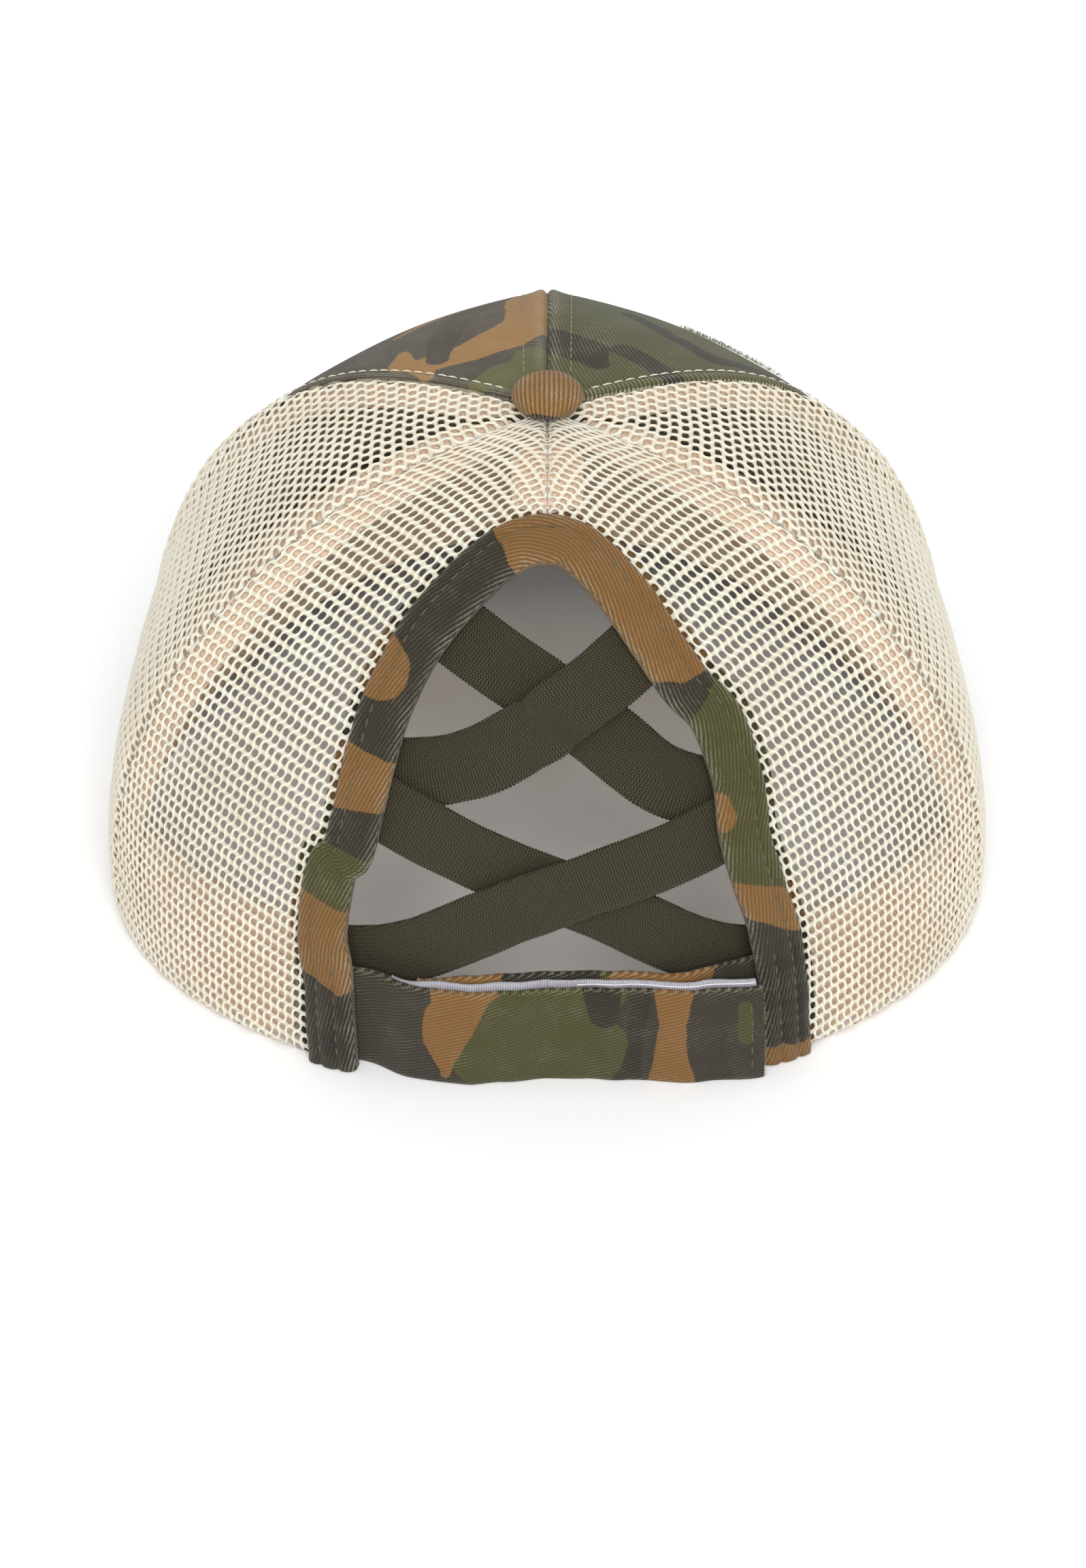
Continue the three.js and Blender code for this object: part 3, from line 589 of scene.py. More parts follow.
def printFields(x, y, layers, seed=0, loose=0.0):
    # One distance for each of three print colours, their edges waved by up to 0.5 mm, and by up to `loose`
    # times 7.5 mm more where nothing shows how the print runs.
    fine = 0.3 * wobble(x, y, 9.0, seed) + 0.18 * wobble(x, y, 3.5, seed + 2)
    fields = []
    for k, rows in enumerate(layers):
        coarse = 5 * wobble(x, y, 27.0, seed + 4 + k) + 2.5 * wobble(x, y, 12.0, seed + 6 + k)
        fields.append(patchDistance(x, y, rows) + fine + loose * coarse)
    return np.stack(fields, -1)


# Stitches

def stitchMesh(middle, run, out, size):
    # Capsules along `run`: five rings of radius r sin(pi s)^0.5, closed by fans, on a bow that rises by
    # lift (1 - (2 s - 1)^2) less how far it is sunk.
    shares = np.array([0.03, 0.22, 0.5, 0.78, 0.97])
    turns = np.arange(6) * turn / 6
    run, out = unit(run), unit(out)
    side = np.cross(out, run)
    radius = size["radius"] * np.sin(np.pi * shares) ** 0.5
    rise = size["lift"] * (1 - (2 * shares - 1) ** 2) - size["sunk"]
    m = middle[:, None, None, :]
    p = (m + run[:, None, None, :] * ((shares - 0.5) * size["length"])[None, :, None, None]
         + out[:, None, None, :] * (rise[:, None] + radius[:, None] * np.sin(turns))[None, :, :, None]
         + side[:, None, None, :] * (radius[:, None] * np.cos(turns))[None, :, :, None])
    j = np.arange(1, 5)
    blank = np.full(4, -1)
    fans = [np.stack([0 * j, j + 1, j, blank], -1), np.stack([0 * j + 24, 24 + j, 25 + j, blank], -1)]
    one = turnedOut(p[0].reshape(-1, 3), np.concatenate([gridFaces(5, 6, closedAround=True), *fans]))
    return p.reshape(-1, 3), repeated(one, len(middle), 30)


def evenly(points, pitch):
    # Shares at which a polyline is cut in equal steps of about `pitch`.
    lengths = lengthsAlong(points)
    count = max(int(lengths[-1] / pitch), 2)
    return np.interp((np.arange(count) + 0.5) / count * lengths[-1], lengths, np.linspace(0, 1, len(points)))


def stitchAlong(place, outward, size, first=0.0, last=1.0):
    # Stitches on the line place(share), with outward(share) as the side that they lie on.
    dense = np.linspace(first, last, 400)
    shares = first + (last - first) * evenly(place(dense), size["pitch"])
    shares = shares + rng.normal(0, 0.0006, len(shares))
    run = place(shares + 0.002) - place(shares - 0.002)
    middle = place(shares)
    return stitchMesh(middle, run, outward(shares), size)


topStitch = {"radius": 0.17, "length": 2.3, "lift": 0.16, "sunk": 0.0, "pitch": 2.65}
seamStitch = {"radius": 0.13, "length": 2.2, "lift": 0.08, "sunk": 0.02, "pitch": 2.65}
peakStitch = dict(topStitch, pitch=3.2, length=2.6)
bindingStitch = {"radius": 0.15, "length": 2.2, "lift": 0.1, "sunk": 0.03, "pitch": 3.2}


# Flat patterns: how many mm across and up the cloth a place on the crown is

def flatPattern(middle, low, high):
    # Tables of a panel laid flat: y is the length up its middle line, x the length along a level row.
    ups = 1 - (1 - np.linspace(0, 0.965, 200)) ** 1.6
    turns = np.radians(np.linspace(low, high, 181))
    centre = math.radians(middle)
    y = lengthsAlong(crownAt(centre, ups))
    rows = crownAt(turns[None, :], ups[:, None])
    steps = np.linalg.norm(np.diff(rows, axis=1), axis=2)
    x = np.concatenate([np.zeros((len(ups), 1)), np.cumsum(steps, axis=1)], axis=1)
    x -= np.array([np.interp(centre, turns, row) for row in x])[:, None]
    speed = paceAt(np.full_like(ups, centre), ups)
    curve = -np.gradient(np.log(speed), y)
    xs = np.linspace(-110, 110, 441)
    back = np.stack([np.interp(xs, row, turns) for row in x])
    return {"ups": ups, "turns": turns, "y": y, "x": x, "curve": curve, "xs": xs, "back": back}


def sampled(table, i, j):
    # Bilinear value of a table at fractional row i and column j.
    i = np.clip(i, 0, table.shape[0] - 1.001)
    j = np.clip(j, 0, table.shape[1] - 1.001)
    a, b = i.astype(int), j.astype(int)
    u, v = i - a, j - b
    return (table[a, b] * (1 - u) * (1 - v) + table[a + 1, b] * u * (1 - v)
            + table[a, b + 1] * (1 - u) * v + table[a + 1, b + 1] * u * v)


def toFlat(pattern, azimuth, up):
    # Crown place to flat x, y.
    i = np.interp(up, pattern["ups"], np.arange(len(pattern["ups"])))
    j = np.interp(azimuth, pattern["turns"], np.arange(len(pattern["turns"])))
    return sampled(pattern["x"], i, j), np.interp(up, pattern["ups"], pattern["y"])


def fromFlat(pattern, x, y):
    # Flat x, y to the crown, where a row of constant up is bowed: y = length up + curve x^2 / 2.
    length = y
    for _ in range(6):
        bend = np.interp(length, pattern["y"], pattern["curve"])
        length = y - np.clip(bend, -0.02, 0.02) * x * x / 2
    up = np.interp(length, pattern["y"], pattern["ups"])
    i = np.interp(up, pattern["ups"], np.arange(len(pattern["ups"])))
    j = np.interp(x, pattern["xs"], np.arange(len(pattern["xs"])))
    return sampled(pattern["back"], i, j), up


# Front panels

front = {
    "rows": 108, "columns": 70, "low": -0.02, "rollWidth": 2.6, "roll": 0.24, "valley": 1.0,
    "netRoll": 0.12, "netValley": 0.35, "tuck": 1.0, "stitchFromSeam": 5.4, "stitchFromNet": 3.0,
    "groove": 0.2, "unprinted": 4.0,  # wear of the inside: only the face is printed, so it is pale all over
}
# degrees from the middle of the back on the panel's own side, up, radius in mm, twice
frontPrint = {
    "left": [
        [(150, 0.95, 4.2, 124, 0.958, 2.6), (172, 0.93, 4, 140, 0.97, 3), (135, 0.4, 9, 160, 0.3, 12)],
        [(166, 0.603, 1.1, 154, 0.635, 1.6), (154, 0.635, 1.6, 142, 0.69, 1.0),
         (178, 0.60, 5.4, 175, 0.84, 5.6), (175, 0.84, 5.6, 160, 0.862, 5.0),
         (160, 0.862, 5.0, 145, 0.875, 4.0), (145, 0.875, 4.0, 127, 0.868, 3.4),
         (133, 0.80, 1.6, 126, 0.84, 3.2), (127, 0.868, 3.4, 121, 0.90, 1.8), (172, 0.3, 9, 140, 0.18, 7)],
        [(172, 0.615, 2.4, 161, 0.69, 3.2), (161, 0.69, 3.2, 151, 0.77, 3.5),
         (151, 0.77, 3.5, 142, 0.825, 3.1), (142, 0.825, 3.1, 134, 0.865, 2.4),
         (130, 0.67, 3.2, 119, 0.80, 2.2), (112, 0.922, 1.6, 124, 0.934, 1.1), (150, 0.45, 7, 128, 0.55, 6)],
    ],
    "right": [
        [(170, 0.7, 40, 130, 0.8, 40), (170, 0.2, 50, 130, 0.2, 50)],
        [(150, 0.32, 6, 128, 0.22, 8), (174, 0.42, 5, 168, 0.2, 4)],
        [(180, 0.60, 5, 158, 0.59, 4), (177, 0.895, 5.2, 161, 0.90, 4.8),
         (161, 0.90, 4.8, 148, 0.925, 2.4), (160, 0.70, 1.8, 146, 0.75, 2.0),
         (146, 0.75, 2.0, 129, 0.78, 2.3), (129, 0.78, 2.3, 121, 0.67, 2.0), (147, 0.87, 2.6, 119, 0.9, 2.6),
         (150, 0.4, 8, 130, 0.5, 5)],
    ],
}


def frontPanel(side, name):
    # Half of the front: rows of constant up, columns from the net's seam to the middle seam. The cloth rises
    # in a roll beside each seam, dips at its row of stitches, and turns in at the seam itself.
    pattern = flatPattern(150, 110, 182)
    shares = 1 - (1 - np.linspace(0, 1, front["rows"])) ** 1.35
    share = np.linspace(0, 1, front["columns"])
    share = 0.5 - 0.5 * np.cos(np.pi * share) * (0.65 + 0.35 * np.abs(np.cos(np.pi * share)))
    edge = seamsAt(shares)[1][:, None]
    azimuth = edge + (math.pi - edge) * share[None, :]
    up = shares[:, None] * upAtRadius(azimuth, crown["topHole"])
    speed = paceAt(azimuth, up)
    fromSeam = (math.pi - azimuth) * speed
    fromNet = (azimuth - edge) * speed
    x, y = toFlat(pattern, azimuth, up)
    near = np.minimum(fromSeam, fromNet)
    pucker = 0.06 * np.sin(y * turn / 5.3 + 1.1 * wobble(x, y, 13)) + 0.05 * np.sin(y * turn / 2.65)
    width = front["rollWidth"]
    out = front["low"] + 0.3 * wobble(x, y, 34.0, 3)
    for distance, roll in ((fromSeam, front["roll"]), (fromNet, front["netRoll"])):
        out = out + roll * (1 + pucker / front["roll"]) * bell(distance - width * 0.62, width * 0.5)
    out = out - front["valley"] * bell(fromSeam, 0.5) - front["netValley"] * bell(fromNet, 0.45)
    out = out - front["tuck"] * ease((0.74 - up) / 0.12) * bell(fromNet, 7)
    for line, distance in ((front["stitchFromSeam"], fromSeam), (front["stitchFromNet"], fromNet)):
        dimple = 0.75 + 0.25 * np.cos(y * turn / topStitch["pitch"])
        out = out - front["groove"] * dimple * bell(distance - line, 0.55)
    inset = 0.12 * (1 - 2 * share[None, :]) / np.maximum(speed, 4)
    face = onCrown(side * (azimuth + inset), up, out)
    back = onCrown(side * (azimuth + inset), up, np.minimum(out, 0) - crown["wall"])
    points, faces = sheetMesh(face, back)
    layers = []
    for rows in frontPrint[name]:
        flat = []
        for a0, u0, r0, a1, u1, r1 in rows:
            x0, y0 = toFlat(pattern, math.radians(a0), np.array(u0))
            x1, y1 = toFlat(pattern, math.radians(a1), np.array(u1))
            flat.append((float(x0), float(y0), r0, float(x1), float(y1), r1))
        layers.append(flat)
    fields = printFields(x, y, layers, 3 if side > 0 else 8, ease((0.52 - up) / 0.12))
    wear = 0.12 + 0.42 * bell(near - 1.6, 1.2) + 0.15 * wobble(x, y, 11.0, 5)
    bend = np.clip(np.interp(y, pattern["y"], pattern["curve"]), 1e-4, 0.03)
    place = np.stack([np.sin(x * bend) / bend * side, y + (1 - np.cos(x * bend)) / bend, 0 * x], -1)
    wears = np.concatenate([wear.ravel(), np.full(wear.size, front["unprinted"])])
    makePiece(f"Front panel {name}", points, faces, frontTwillPaintedLight[name],
              [f"front_panel_{name}"], {"clothPlace": twice(place), "print": twice(fields), "wear": wears})

    height = front["low"] - front["groove"] * 0.5 + 0.05
    for seam, distance, high, size, thread in (
            ("middle", -front["stitchFromSeam"], 0.955, seamStitch, paleOliveThread),
            ("net", front["stitchFromNet"], 0.975, topStitch, creamThread)):
        def place(at, seam=seam, distance=distance):
            line = np.full_like(at, math.pi) if seam == "middle" else seamsAt(at)[1]
            return onCrown(side * (line + distance / paceAt(line, at)), at, height)

        points, faces = stitchAlong(place, lambda s: wayOut(side * np.full_like(s, 2.4), s), size, 0.02, high)
        makePiece(f"Front panel stitches {seam} {name}", points, faces, thread)


frontPanel(-1, "left")
frontPanel(1, "right")
print("front panels made")


# Net panels

arch = [
    (0, 28.2, 31.9), (0.1, 29.2, 31.4), (0.17, 30.6, 30.5), (0.225, 30.4, 29.2), (0.29, 27.9, 28.3),
    (0.36, 27.7, 29.0), (0.43, 27.5, 28.3), (0.5, 26.6, 24.2), (0.57, 24.6, 20.9), (0.64, 20.5, 17.5),
    (0.7, 15.2, 13.0), (0.745, 7.6, 6.8), (0.761, 0, 0),
]


def archSide(side, share):
    # The arch's middle line on one side as azimuth and up, from the rim at 0 to its top at 1.
    column = 1 if side < 0 else 2
    p = smoothLine([(row[0], row[column]) for row in arch], share)
    return side * np.radians(np.maximum(p[..., 1], 0)), p[..., 0]


net = {
    "rear": {"pitch": 1.92, "rowStep": 2.62, "tilt": 18.0, "middle": 50.0, "low": -12, "high": 96, "seed": 1},
    "side": {"pitch": 2.5, "rowStep": 2.2, "tilt": 2.0, "middle": 96.0, "low": 46, "high": 126, "seed": 2},
    "ropeHigh": 0.42, "patchHigh": 0.12, "edgeHigh": 0.0, "depth": 0.4,
    "seamCurl": 0.9, "curlWidth": 1.7, "hemCurl": 0.9, "hemWidth": 1.6, "holePower": 2.7,
}


def zigzag(row, pitch):
    # Sideways place of a strip at a row: 0 at even rows, half a pitch at odd ones, with flats at the rows.
    there = 1 - np.abs(1 - np.mod(row, 2))
    return pitch / 2 * ease((there - 0.2) / 0.6)


def cellBorder(look):
    # The border of one cell of the lattice in mm: its corners and two points on each side between them.
    sixth = 1 / 6
    border = np.array([
        (-0.5, -0.5), (-sixth, -0.5), (sixth, -0.5), (0.5, -0.5), (0.5, -sixth), (0.5, sixth),
        (0.5, 0.5), (sixth, 0.5), (-sixth, 0.5), (-0.5, 0.5), (-0.5, sixth), (-0.5, -sixth),
    ])
    return border * [look["pitch"], look["rowStep"]]


def netPanel(kind, side, name):
    # A net on a staggered lattice, laid on the crown from its flat pattern: ropes run across the rows and
    # shift by half a pitch between them, with a flat ladder patch between one hole and the next.
    look = net[kind]
    local = np.random.default_rng(look["seed"] * 10 + (side > 0))
    pattern = flatPattern(look["middle"], look["low"], look["high"])
    pitch, rowStep = look["pitch"], look["rowStep"]
    k, i = np.meshgrid(np.arange(-75, 76), np.arange(-75, 76))
    k, i = k.ravel(), i.ravel()
    angle = math.radians(look["tilt"])
    origin = np.array([0.0, 75.0])

    def laid(x, y):
        # Lattice place to the flat pattern, turned by the tilt, and from there to azimuth and up.
        fx = x * math.cos(angle) - y * math.sin(angle) + origin[0]
        fy = x * math.sin(angle) + y * math.cos(angle) + origin[1]
        return fx, fy, *fromFlat(pattern, fx, fy)

    edgeUps = np.linspace(0, 1, 400)
    inner, outer = seamsAt(edgeUps)
    if kind == "rear":
        outer = inner
        archAzimuth, archUp = archSide(side, edgeUps)
        inner = np.interp(edgeUps, archUp, np.abs(archAzimuth))
        inner[edgeUps > arch[-1][0]] = 0

    def edgeDistances(azimuth, up):
        # Distances in mm to the inner and outer edge along the row and to the rim, then both edges' azimuths.
        speed = paceAt(azimuth, up)
        low, high = np.interp(up, edgeUps, inner), np.interp(up, edgeUps, outer)
        y = np.interp(up, pattern["ups"], pattern["y"])
        return (azimuth - low) * speed, (high - azimuth) * speed, y, low, high

    fx, fy, azimuth, up = laid(k * pitch + zigzag(i, pitch), i * rowStep)
    topTurns = np.linspace(0, math.pi, 200)
    topUps = upAtRadius(topTurns, crown["topHole"])
    within = (fy > -1) & (up > 0.0) & (up < np.interp(azimuth, topTurns, topUps)) & (np.abs(fx) < 100)
    k, i = k[within], i[within]
    dInner, dOuter, dRim, _, _ = edgeDistances(azimuth[within], up[within])
    inside = (dInner > -1.2) & (dOuter > -1.2) & (dRim > 0.2)
    k, i = k[inside], i[inside]
    cells = len(k)

    border = cellBorder(look)
    count = len(border)
    turns = np.arctan2(border[:, 1] / rowStep, border[:, 0] / pitch)
    odd = (np.mod(i, 2) == 1)[:, None]
    halfWide = np.where(odd, 0.335, 0.36) * pitch * (1 + local.normal(0, 0.05, (cells, 1)))
    halfTall = np.where(odd, 0.31, 0.335) * rowStep * (1 + local.normal(0, 0.05, (cells, 1)))
    c, s = np.cos(turns)[None, :], np.sin(turns)[None, :]
    power = net["holePower"]  # a hole's edge is |x / w|^power + |y / h|^power = 1
    size = (np.abs(c) ** power + np.abs(s) ** power) ** (-1 / power)
    lean = np.where(odd, 0.16, 0.04)
    holeY = s * size * halfTall
    holeX = c * size * halfWide + lean * holeY
    bx = np.broadcast_to(border[None, :, 0], (cells, count))
    by = np.broadcast_to(border[None, :, 1], (cells, count))
    rope = (np.abs(bx) > pitch * 0.49).astype(float)
    high = net["patchHigh"] + (net["ropeHigh"] - net["patchHigh"]) * rope
    shoulder = net["patchHigh"] + 0.16 * np.abs(c) ** 3
    rings = [  # border, shoulder, the hole's edge, then the edge and the border behind
        (bx, by, high),
        (holeX + (bx - holeX) * 0.45, holeY + (by - holeY) * 0.5, shoulder + 0 * bx),
        (holeX, holeY, net["edgeHigh"] + 0 * bx),
        (holeX * 1.04, holeY * 1.04, net["edgeHigh"] - 0.1 + 0 * bx),
        (bx, by, -0.1 - 0.1 * rope),
    ]
    x, y, h = [np.stack([ring[axis] for ring in rings], 1) for axis in range(3)]
    layer = np.broadcast_to(np.arange(5)[None, :, None], x.shape)
    aside = np.abs(x)
    rowAt = i[:, None, None] + y / rowStep
    latticeX = k[:, None, None] * pitch + x + zigzag(rowAt, pitch)
    latticeY = rowAt * rowStep
    # points that two cells share get one number, so the cells join
    shared = np.round(np.stack([latticeX, latticeY, layer], -1).reshape(-1, 3) * 1000).astype(np.int64)
    key = (shared[:, 0] + 400000) * 10_000_000_000 + (shared[:, 1] + 400000) * 1000 + shared[:, 2]
    _, first, number = np.unique(key, return_index=True, return_inverse=True)
    number = number.reshape(cells, 5, count)
    after = np.roll(number, -1, axis=2)
    quads = np.stack([number[:, :-1], after[:, :-1], after[:, 1:], number[:, 1:]], -1).reshape(-1, 4)

    fx, fy, azimuth, up = laid(latticeX.reshape(-1)[first], latticeY.reshape(-1)[first])
    high, aside, along = h.reshape(-1)[first], aside.reshape(-1)[first], latticeY.reshape(-1)[first]
    up = np.clip(up, 0.0, np.interp(azimuth, topTurns, topUps))
    dInner, dOuter, dRim, low, top = edgeDistances(azimuth, up)
    azimuth = np.clip(azimuth, low, top)
    dSeam = dOuter if kind == "rear" else np.minimum(dInner, dOuter)
    if kind == "rear":
        dSeam = np.where(up > 0.8, np.minimum(dSeam, dInner), dSeam)
    dAll = np.clip(np.minimum(np.minimum(dInner, dOuter), dRim), 0, None)
    pucker = 1 + 0.3 * np.sin(fy * turn / 4.1 + 2 * wobble(fx, fy, 17.0, 4))
    curl = net["seamCurl"] * pucker * (1 - ease(np.clip(dSeam, 0, None) / net["curlWidth"]))
    hem = net["hemCurl"] * (1 - ease(dRim / net["hemWidth"]))
    drape = 0.32 * wobble(fx, fy, 31.0, look["seed"]) + 0.1 * wobble(fx, fy, 8.0, look["seed"] + 3)
    drape = drape * ease(dSeam / 6) * ease(dAll / 4)
    if kind == "side":  # the net swells past the front panel low down, and hides their seam
        drape = drape + 1.3 * ease((0.74 - up) / 0.14) * bell(dOuter - 3.5, 5) * ease(up / 0.1)
    out = -net["depth"] + high * ease(dAll / 0.7) - curl - hem + drape
    points = onCrown(side * azimuth, up, out)
    corners = points[quads]
    normal = np.cross(corners[:, 2] - corners[:, 0], corners[:, 3] - corners[:, 1])
    kept = np.linalg.norm(normal, axis=1) > 1e-4
    quads, corners, normal = quads[kept], corners[kept], normal[kept]
    if dot(normal[:400], unit(corners[:400, 0] - [0, shiftY, 40])).sum() < 0:
        quads = quads[:, ::-1]
    used, renumbered = np.unique(quads, return_inverse=True)
    quads = renumbered.reshape(quads.shape)
    place = np.stack([aside, along, high], -1)[used]
    makePiece(f"{kind.title()} net {name}", points[used], quads, creamNet,
              [f"{kind}_mesh_{name}"], {"netPlace": place}, creaseDegrees=180)
    print(f"{kind} net {name}: {cells} cells, {2 * len(quads)} triangles")


for side, name in ((-1, "left"), (1, "right")):
    netPanel("rear", side, name)
    netPanel("side", side, name)


# Binding round the arch

def archAt(share):
    # The whole arch as azimuth and up, from the foot on the left over its top to the foot on the right.
    share = np.asarray(share, float)
    lane = 1 - np.abs(2 * share - 1)
    left, right = archSide(-1, lane), archSide(1, lane)
    return np.where(share < 0.5, left[0], right[0]), np.where(share < 0.5, left[1], right[1])


archShares = np.linspace(0, 1, 1201)
archPoints = crownAt(*archAt(archShares))
archLengths = lengthsAlong(archPoints)


def besideArch(along, across, out):
    # The crown `across` mm outwards from the arch's middle line, `along` mm round it, `out` mm off: the step
    # across is solved for azimuth and up with the crown's slopes there.
    along, across, out = np.broadcast_arrays(np.asarray(along, float), across, out)
    share = np.interp(along, archLengths, archShares)
    azimuth, up = archAt(share)
    before = archAt(np.clip(share - 0.004, 0, 1))
    after = archAt(np.clip(share + 0.004, 0, 1))
    perAzimuth, perUp = crownSlopes(azimuth, up)
    run = unit(perAzimuth * (after[0] - before[0])[..., None] + perUp * (after[1] - before[1])[..., None])
    aside = np.cross(unit(np.cross(perAzimuth, perUp)), run) * across[..., None]
    aa, uu, au = dot(perAzimuth, perAzimuth), dot(perUp, perUp), dot(perAzimuth, perUp)
    pa, pu = dot(aside, perAzimuth), dot(aside, perUp)
    det = aa * uu - au * au
    atFoot = ease(np.minimum(along, archLengths[-1] - along) / 0.8)
    up = np.maximum(up + (pu * aa - pa * au) / det * atFoot, 0)
    return onCrown(azimuth + (pa * uu - pu * au) / det, up, out)


binding = {
    "stations": 300, "half": 5.25, "stitch": 2.3, "secondStitch": -1.6, "secondFrom": 34.0,
    "pillow": 0.45, "groove": 0.5, "face": 1.3,
}
# across and out in mm, once round the folded strip
bindingSection = np.array([
    (5.0, 0.3), (5.25, 0.45), (5.25, 0.95), (5.0, 1.22), (4.3, 1.3), (3.6, 1.3), (3.1, 1.3), (2.7, 1.3),
    (2.3, 1.3), (1.9, 1.3), (1.5, 1.3), (0.9, 1.3), (0.0, 1.3), (-0.7, 1.3), (-1.2, 1.3), (-1.6, 1.3),
    (-2.0, 1.3), (-2.5, 1.3), (-3.2, 1.28), (-4.1, 1.15), (-4.85, 0.8), (-5.25, 0.2), (-5.3, -0.7),
    (-5.25, -1.6), (-4.9, -2.3), (-4.3, -2.6), (-1.0, -2.6), (3.5, -2.6), (8.0, -2.6), (8.0, -1.6),
    (3.5, -1.6), (-1.0, -1.6), (-4.2, -1.55), (-4.25, 0.2), (-1.0, 0.3), (2.5, 0.3),
])
# along and across in mm and a radius, twice; along is 0 at the left foot and 275 at the right one
bindingPrint = [
    [(47, -6, 9, 47, 7, 9.5), (208, -6, 21, 206, 7, 21), (221, 2, 9, 224, 4, 9)],
    [(150, -6, 22, 154, 7, 27), (95, 3.6, 6.2, 96, 6, 6.2), (72, -6, 5.6, 72, 7, 7.2),
     (30, -6, 10.5, 36, 7, 8), (211, -5.6, 4.0, 208, -4.8, 1.8), (229, -6, 3.6, 238, 6, 4.6),
     (276, -6, 6, 276, 6, 6)],
    [(253, -1, 6.2, 266, 3, 5.4), (249, 5, 4, 262, 5, 5), (8, -4, 6.5, 18, -5, 2.6)],
]


def bindingFold():
    # The section carried round the arch, its face a pillow that dips along each row of stitches.
    whole, secondFrom = archLengths[-1], binding["secondFrom"]
    along = np.linspace(0, whole, binding["stations"])[:, None]
    across, out = bindingSection[None, :, 0], bindingSection[None, :, 1]
    outside = ease((out - 0.6) / 0.4) * ease((across + 5.3) / 1.0)
    ripple = 0.13 * np.sin(along * turn / bindingStitch["pitch"]) + 0.16 * wobble(along, across, 14.0, 2)
    second = ease((secondFrom - along) / 6) + ease((along - whole + secondFrom) / 6)
    lift = binding["pillow"] * (1 - (across / binding["half"]) ** 2)
    lift = lift - binding["groove"] * (1 + ripple) * bell(across - binding["stitch"], 0.6)
    lift = lift - binding["groove"] * second * bell(across - binding["secondStitch"], 0.6)
    edgeWave = 0.28 * wobble(along, 0 * across, 11.0, 6) + 0.12 * wobble(along, 0 * across, 3.1, 9)
    shift = edgeWave * np.sign(across) * (np.abs(across) / binding["half"]) ** 2 * (out > -1.3)
    section = besideArch(along, across + shift, out + outside * (lift + ripple * 0.6))
    top = bell(along - whole / 2, 10)[..., None]
    section = section + (evened(section, 6) - section) * top
    points, faces = sweptMesh(section)
    a = np.broadcast_to(along, (binding["stations"], len(bindingSection)))
    b = np.broadcast_to(across, a.shape)
    fields = printFields(a, b, bindingPrint, 5)
    wear = 0.08 + 0.4 * bell(b + 5.2, 1.2) + 0.35 * bell(b - 5.1, 0.8) + 0.12 * wobble(a, b, 7, 1)
    place = np.stack([a, b - out * 0.9 * (np.abs(b) > 5), 0 * a], -1)
    attributes = {"clothPlace": withEnds(place), "print": withEnds(fields), "wear": withEnds(wear)}
    makePiece("Arch binding", points, faces, bindingTwill, ["opening_binding"], attributes,
              creaseDegrees=70)

    rows = []
    for across, ranges in ((binding["stitch"], [(3, whole - 3)]),
                           (binding["secondStitch"], [(3, secondFrom), (whole - secondFrom, whole - 3)])):
        pillow = binding["pillow"] * (1 - (across / binding["half"]) ** 2)
        height = binding["face"] + pillow - binding["groove"] + 0.02
        for low, high in ranges:
            along = lambda s, low=low, high=high: low + (high - low) * s
            place = lambda s, at=along, x=across, out=height: besideArch(at(s), x, out)
            outward = lambda s, at=along: wayOut(*archAt(np.interp(at(s), archLengths, archShares)))
            rows.append(stitchAlong(place, outward, bindingStitch))
    points, faces = joined(rows)
    makePiece("Arch binding stitches", points, faces, oliveThread)


bindingFold()
print("binding made")


# Elastic straps

elastic = {
    "width": 15.0, "wall": 1.2, "stations": 440, "scallop": 0.13, "scallopPitch": 0.75, "sewnUnder": 3.0,
    "evenOver": 40,
}
# azimuth in degrees, up, and how many strap thicknesses further in than just under the binding
elasticLines = {
    "upper_back": [
        (-25.5, 0.613, 0.4), (-20, 0.594, 0.4), (-6.9, 0.536, 2.8), (4.4, 0.482, 3.33), (11.8, 0.422, 3.07),
        (17.4, 0.368, 2.4), (23, 0.344, 1.33), (29.5, 0.328, 1.2)],
    "upper_front": [
        (22.5, 0.585, 0.2), (17.7, 0.559, 0.1), (8.9, 0.513, 0.4), (3.8, 0.488, 0.73), (-3.9, 0.446, 1),
        (-9.8, 0.406, 1.2), (-15.9, 0.382, 1.6), (-21.1, 0.371, 1.53), (-28, 0.366, 1.2)],
    "lower_back": [
        (-29, 0.335, 0), (-24.9, 0.321, 0), (-17.6, 0.293, 0.67), (-10.7, 0.262, 2.27), (-3.3, 0.234, 2.93),
        (3.2, 0.213, 3.13), (13, 0.165, 3), (19.3, 0.131, 2.8), (26.9, 0.107, 2.6), (32, 0.1, 2.6)],
    "lower_front": [
        (30, 0.303, 0), (25.8, 0.29, 0), (17.5, 0.264, 0.4), (6.9, 0.237, 0.8), (-3, 0.206, 1),
        (-12.1, 0.162, 1.2), (-19.1, 0.124, 2.6), (-28.5, 0.104, 2.7), (-32.5, 0.1, 2.6)],
}
# across and through as shares of the strap's half width and half wall
elasticSection = np.array([
    (-1.0, 0.0), (-0.95, 0.75), (-0.75, 1.0), (-0.3, 0.92), (0.0, 1.0), (0.3, 0.92), (0.75, 1.0),
    (0.95, 0.75), (1.0, 0.0), (0.95, -0.75), (0.5, -1.0), (0.0, -1.0), (-0.5, -1.0), (-0.95, -0.75),
])


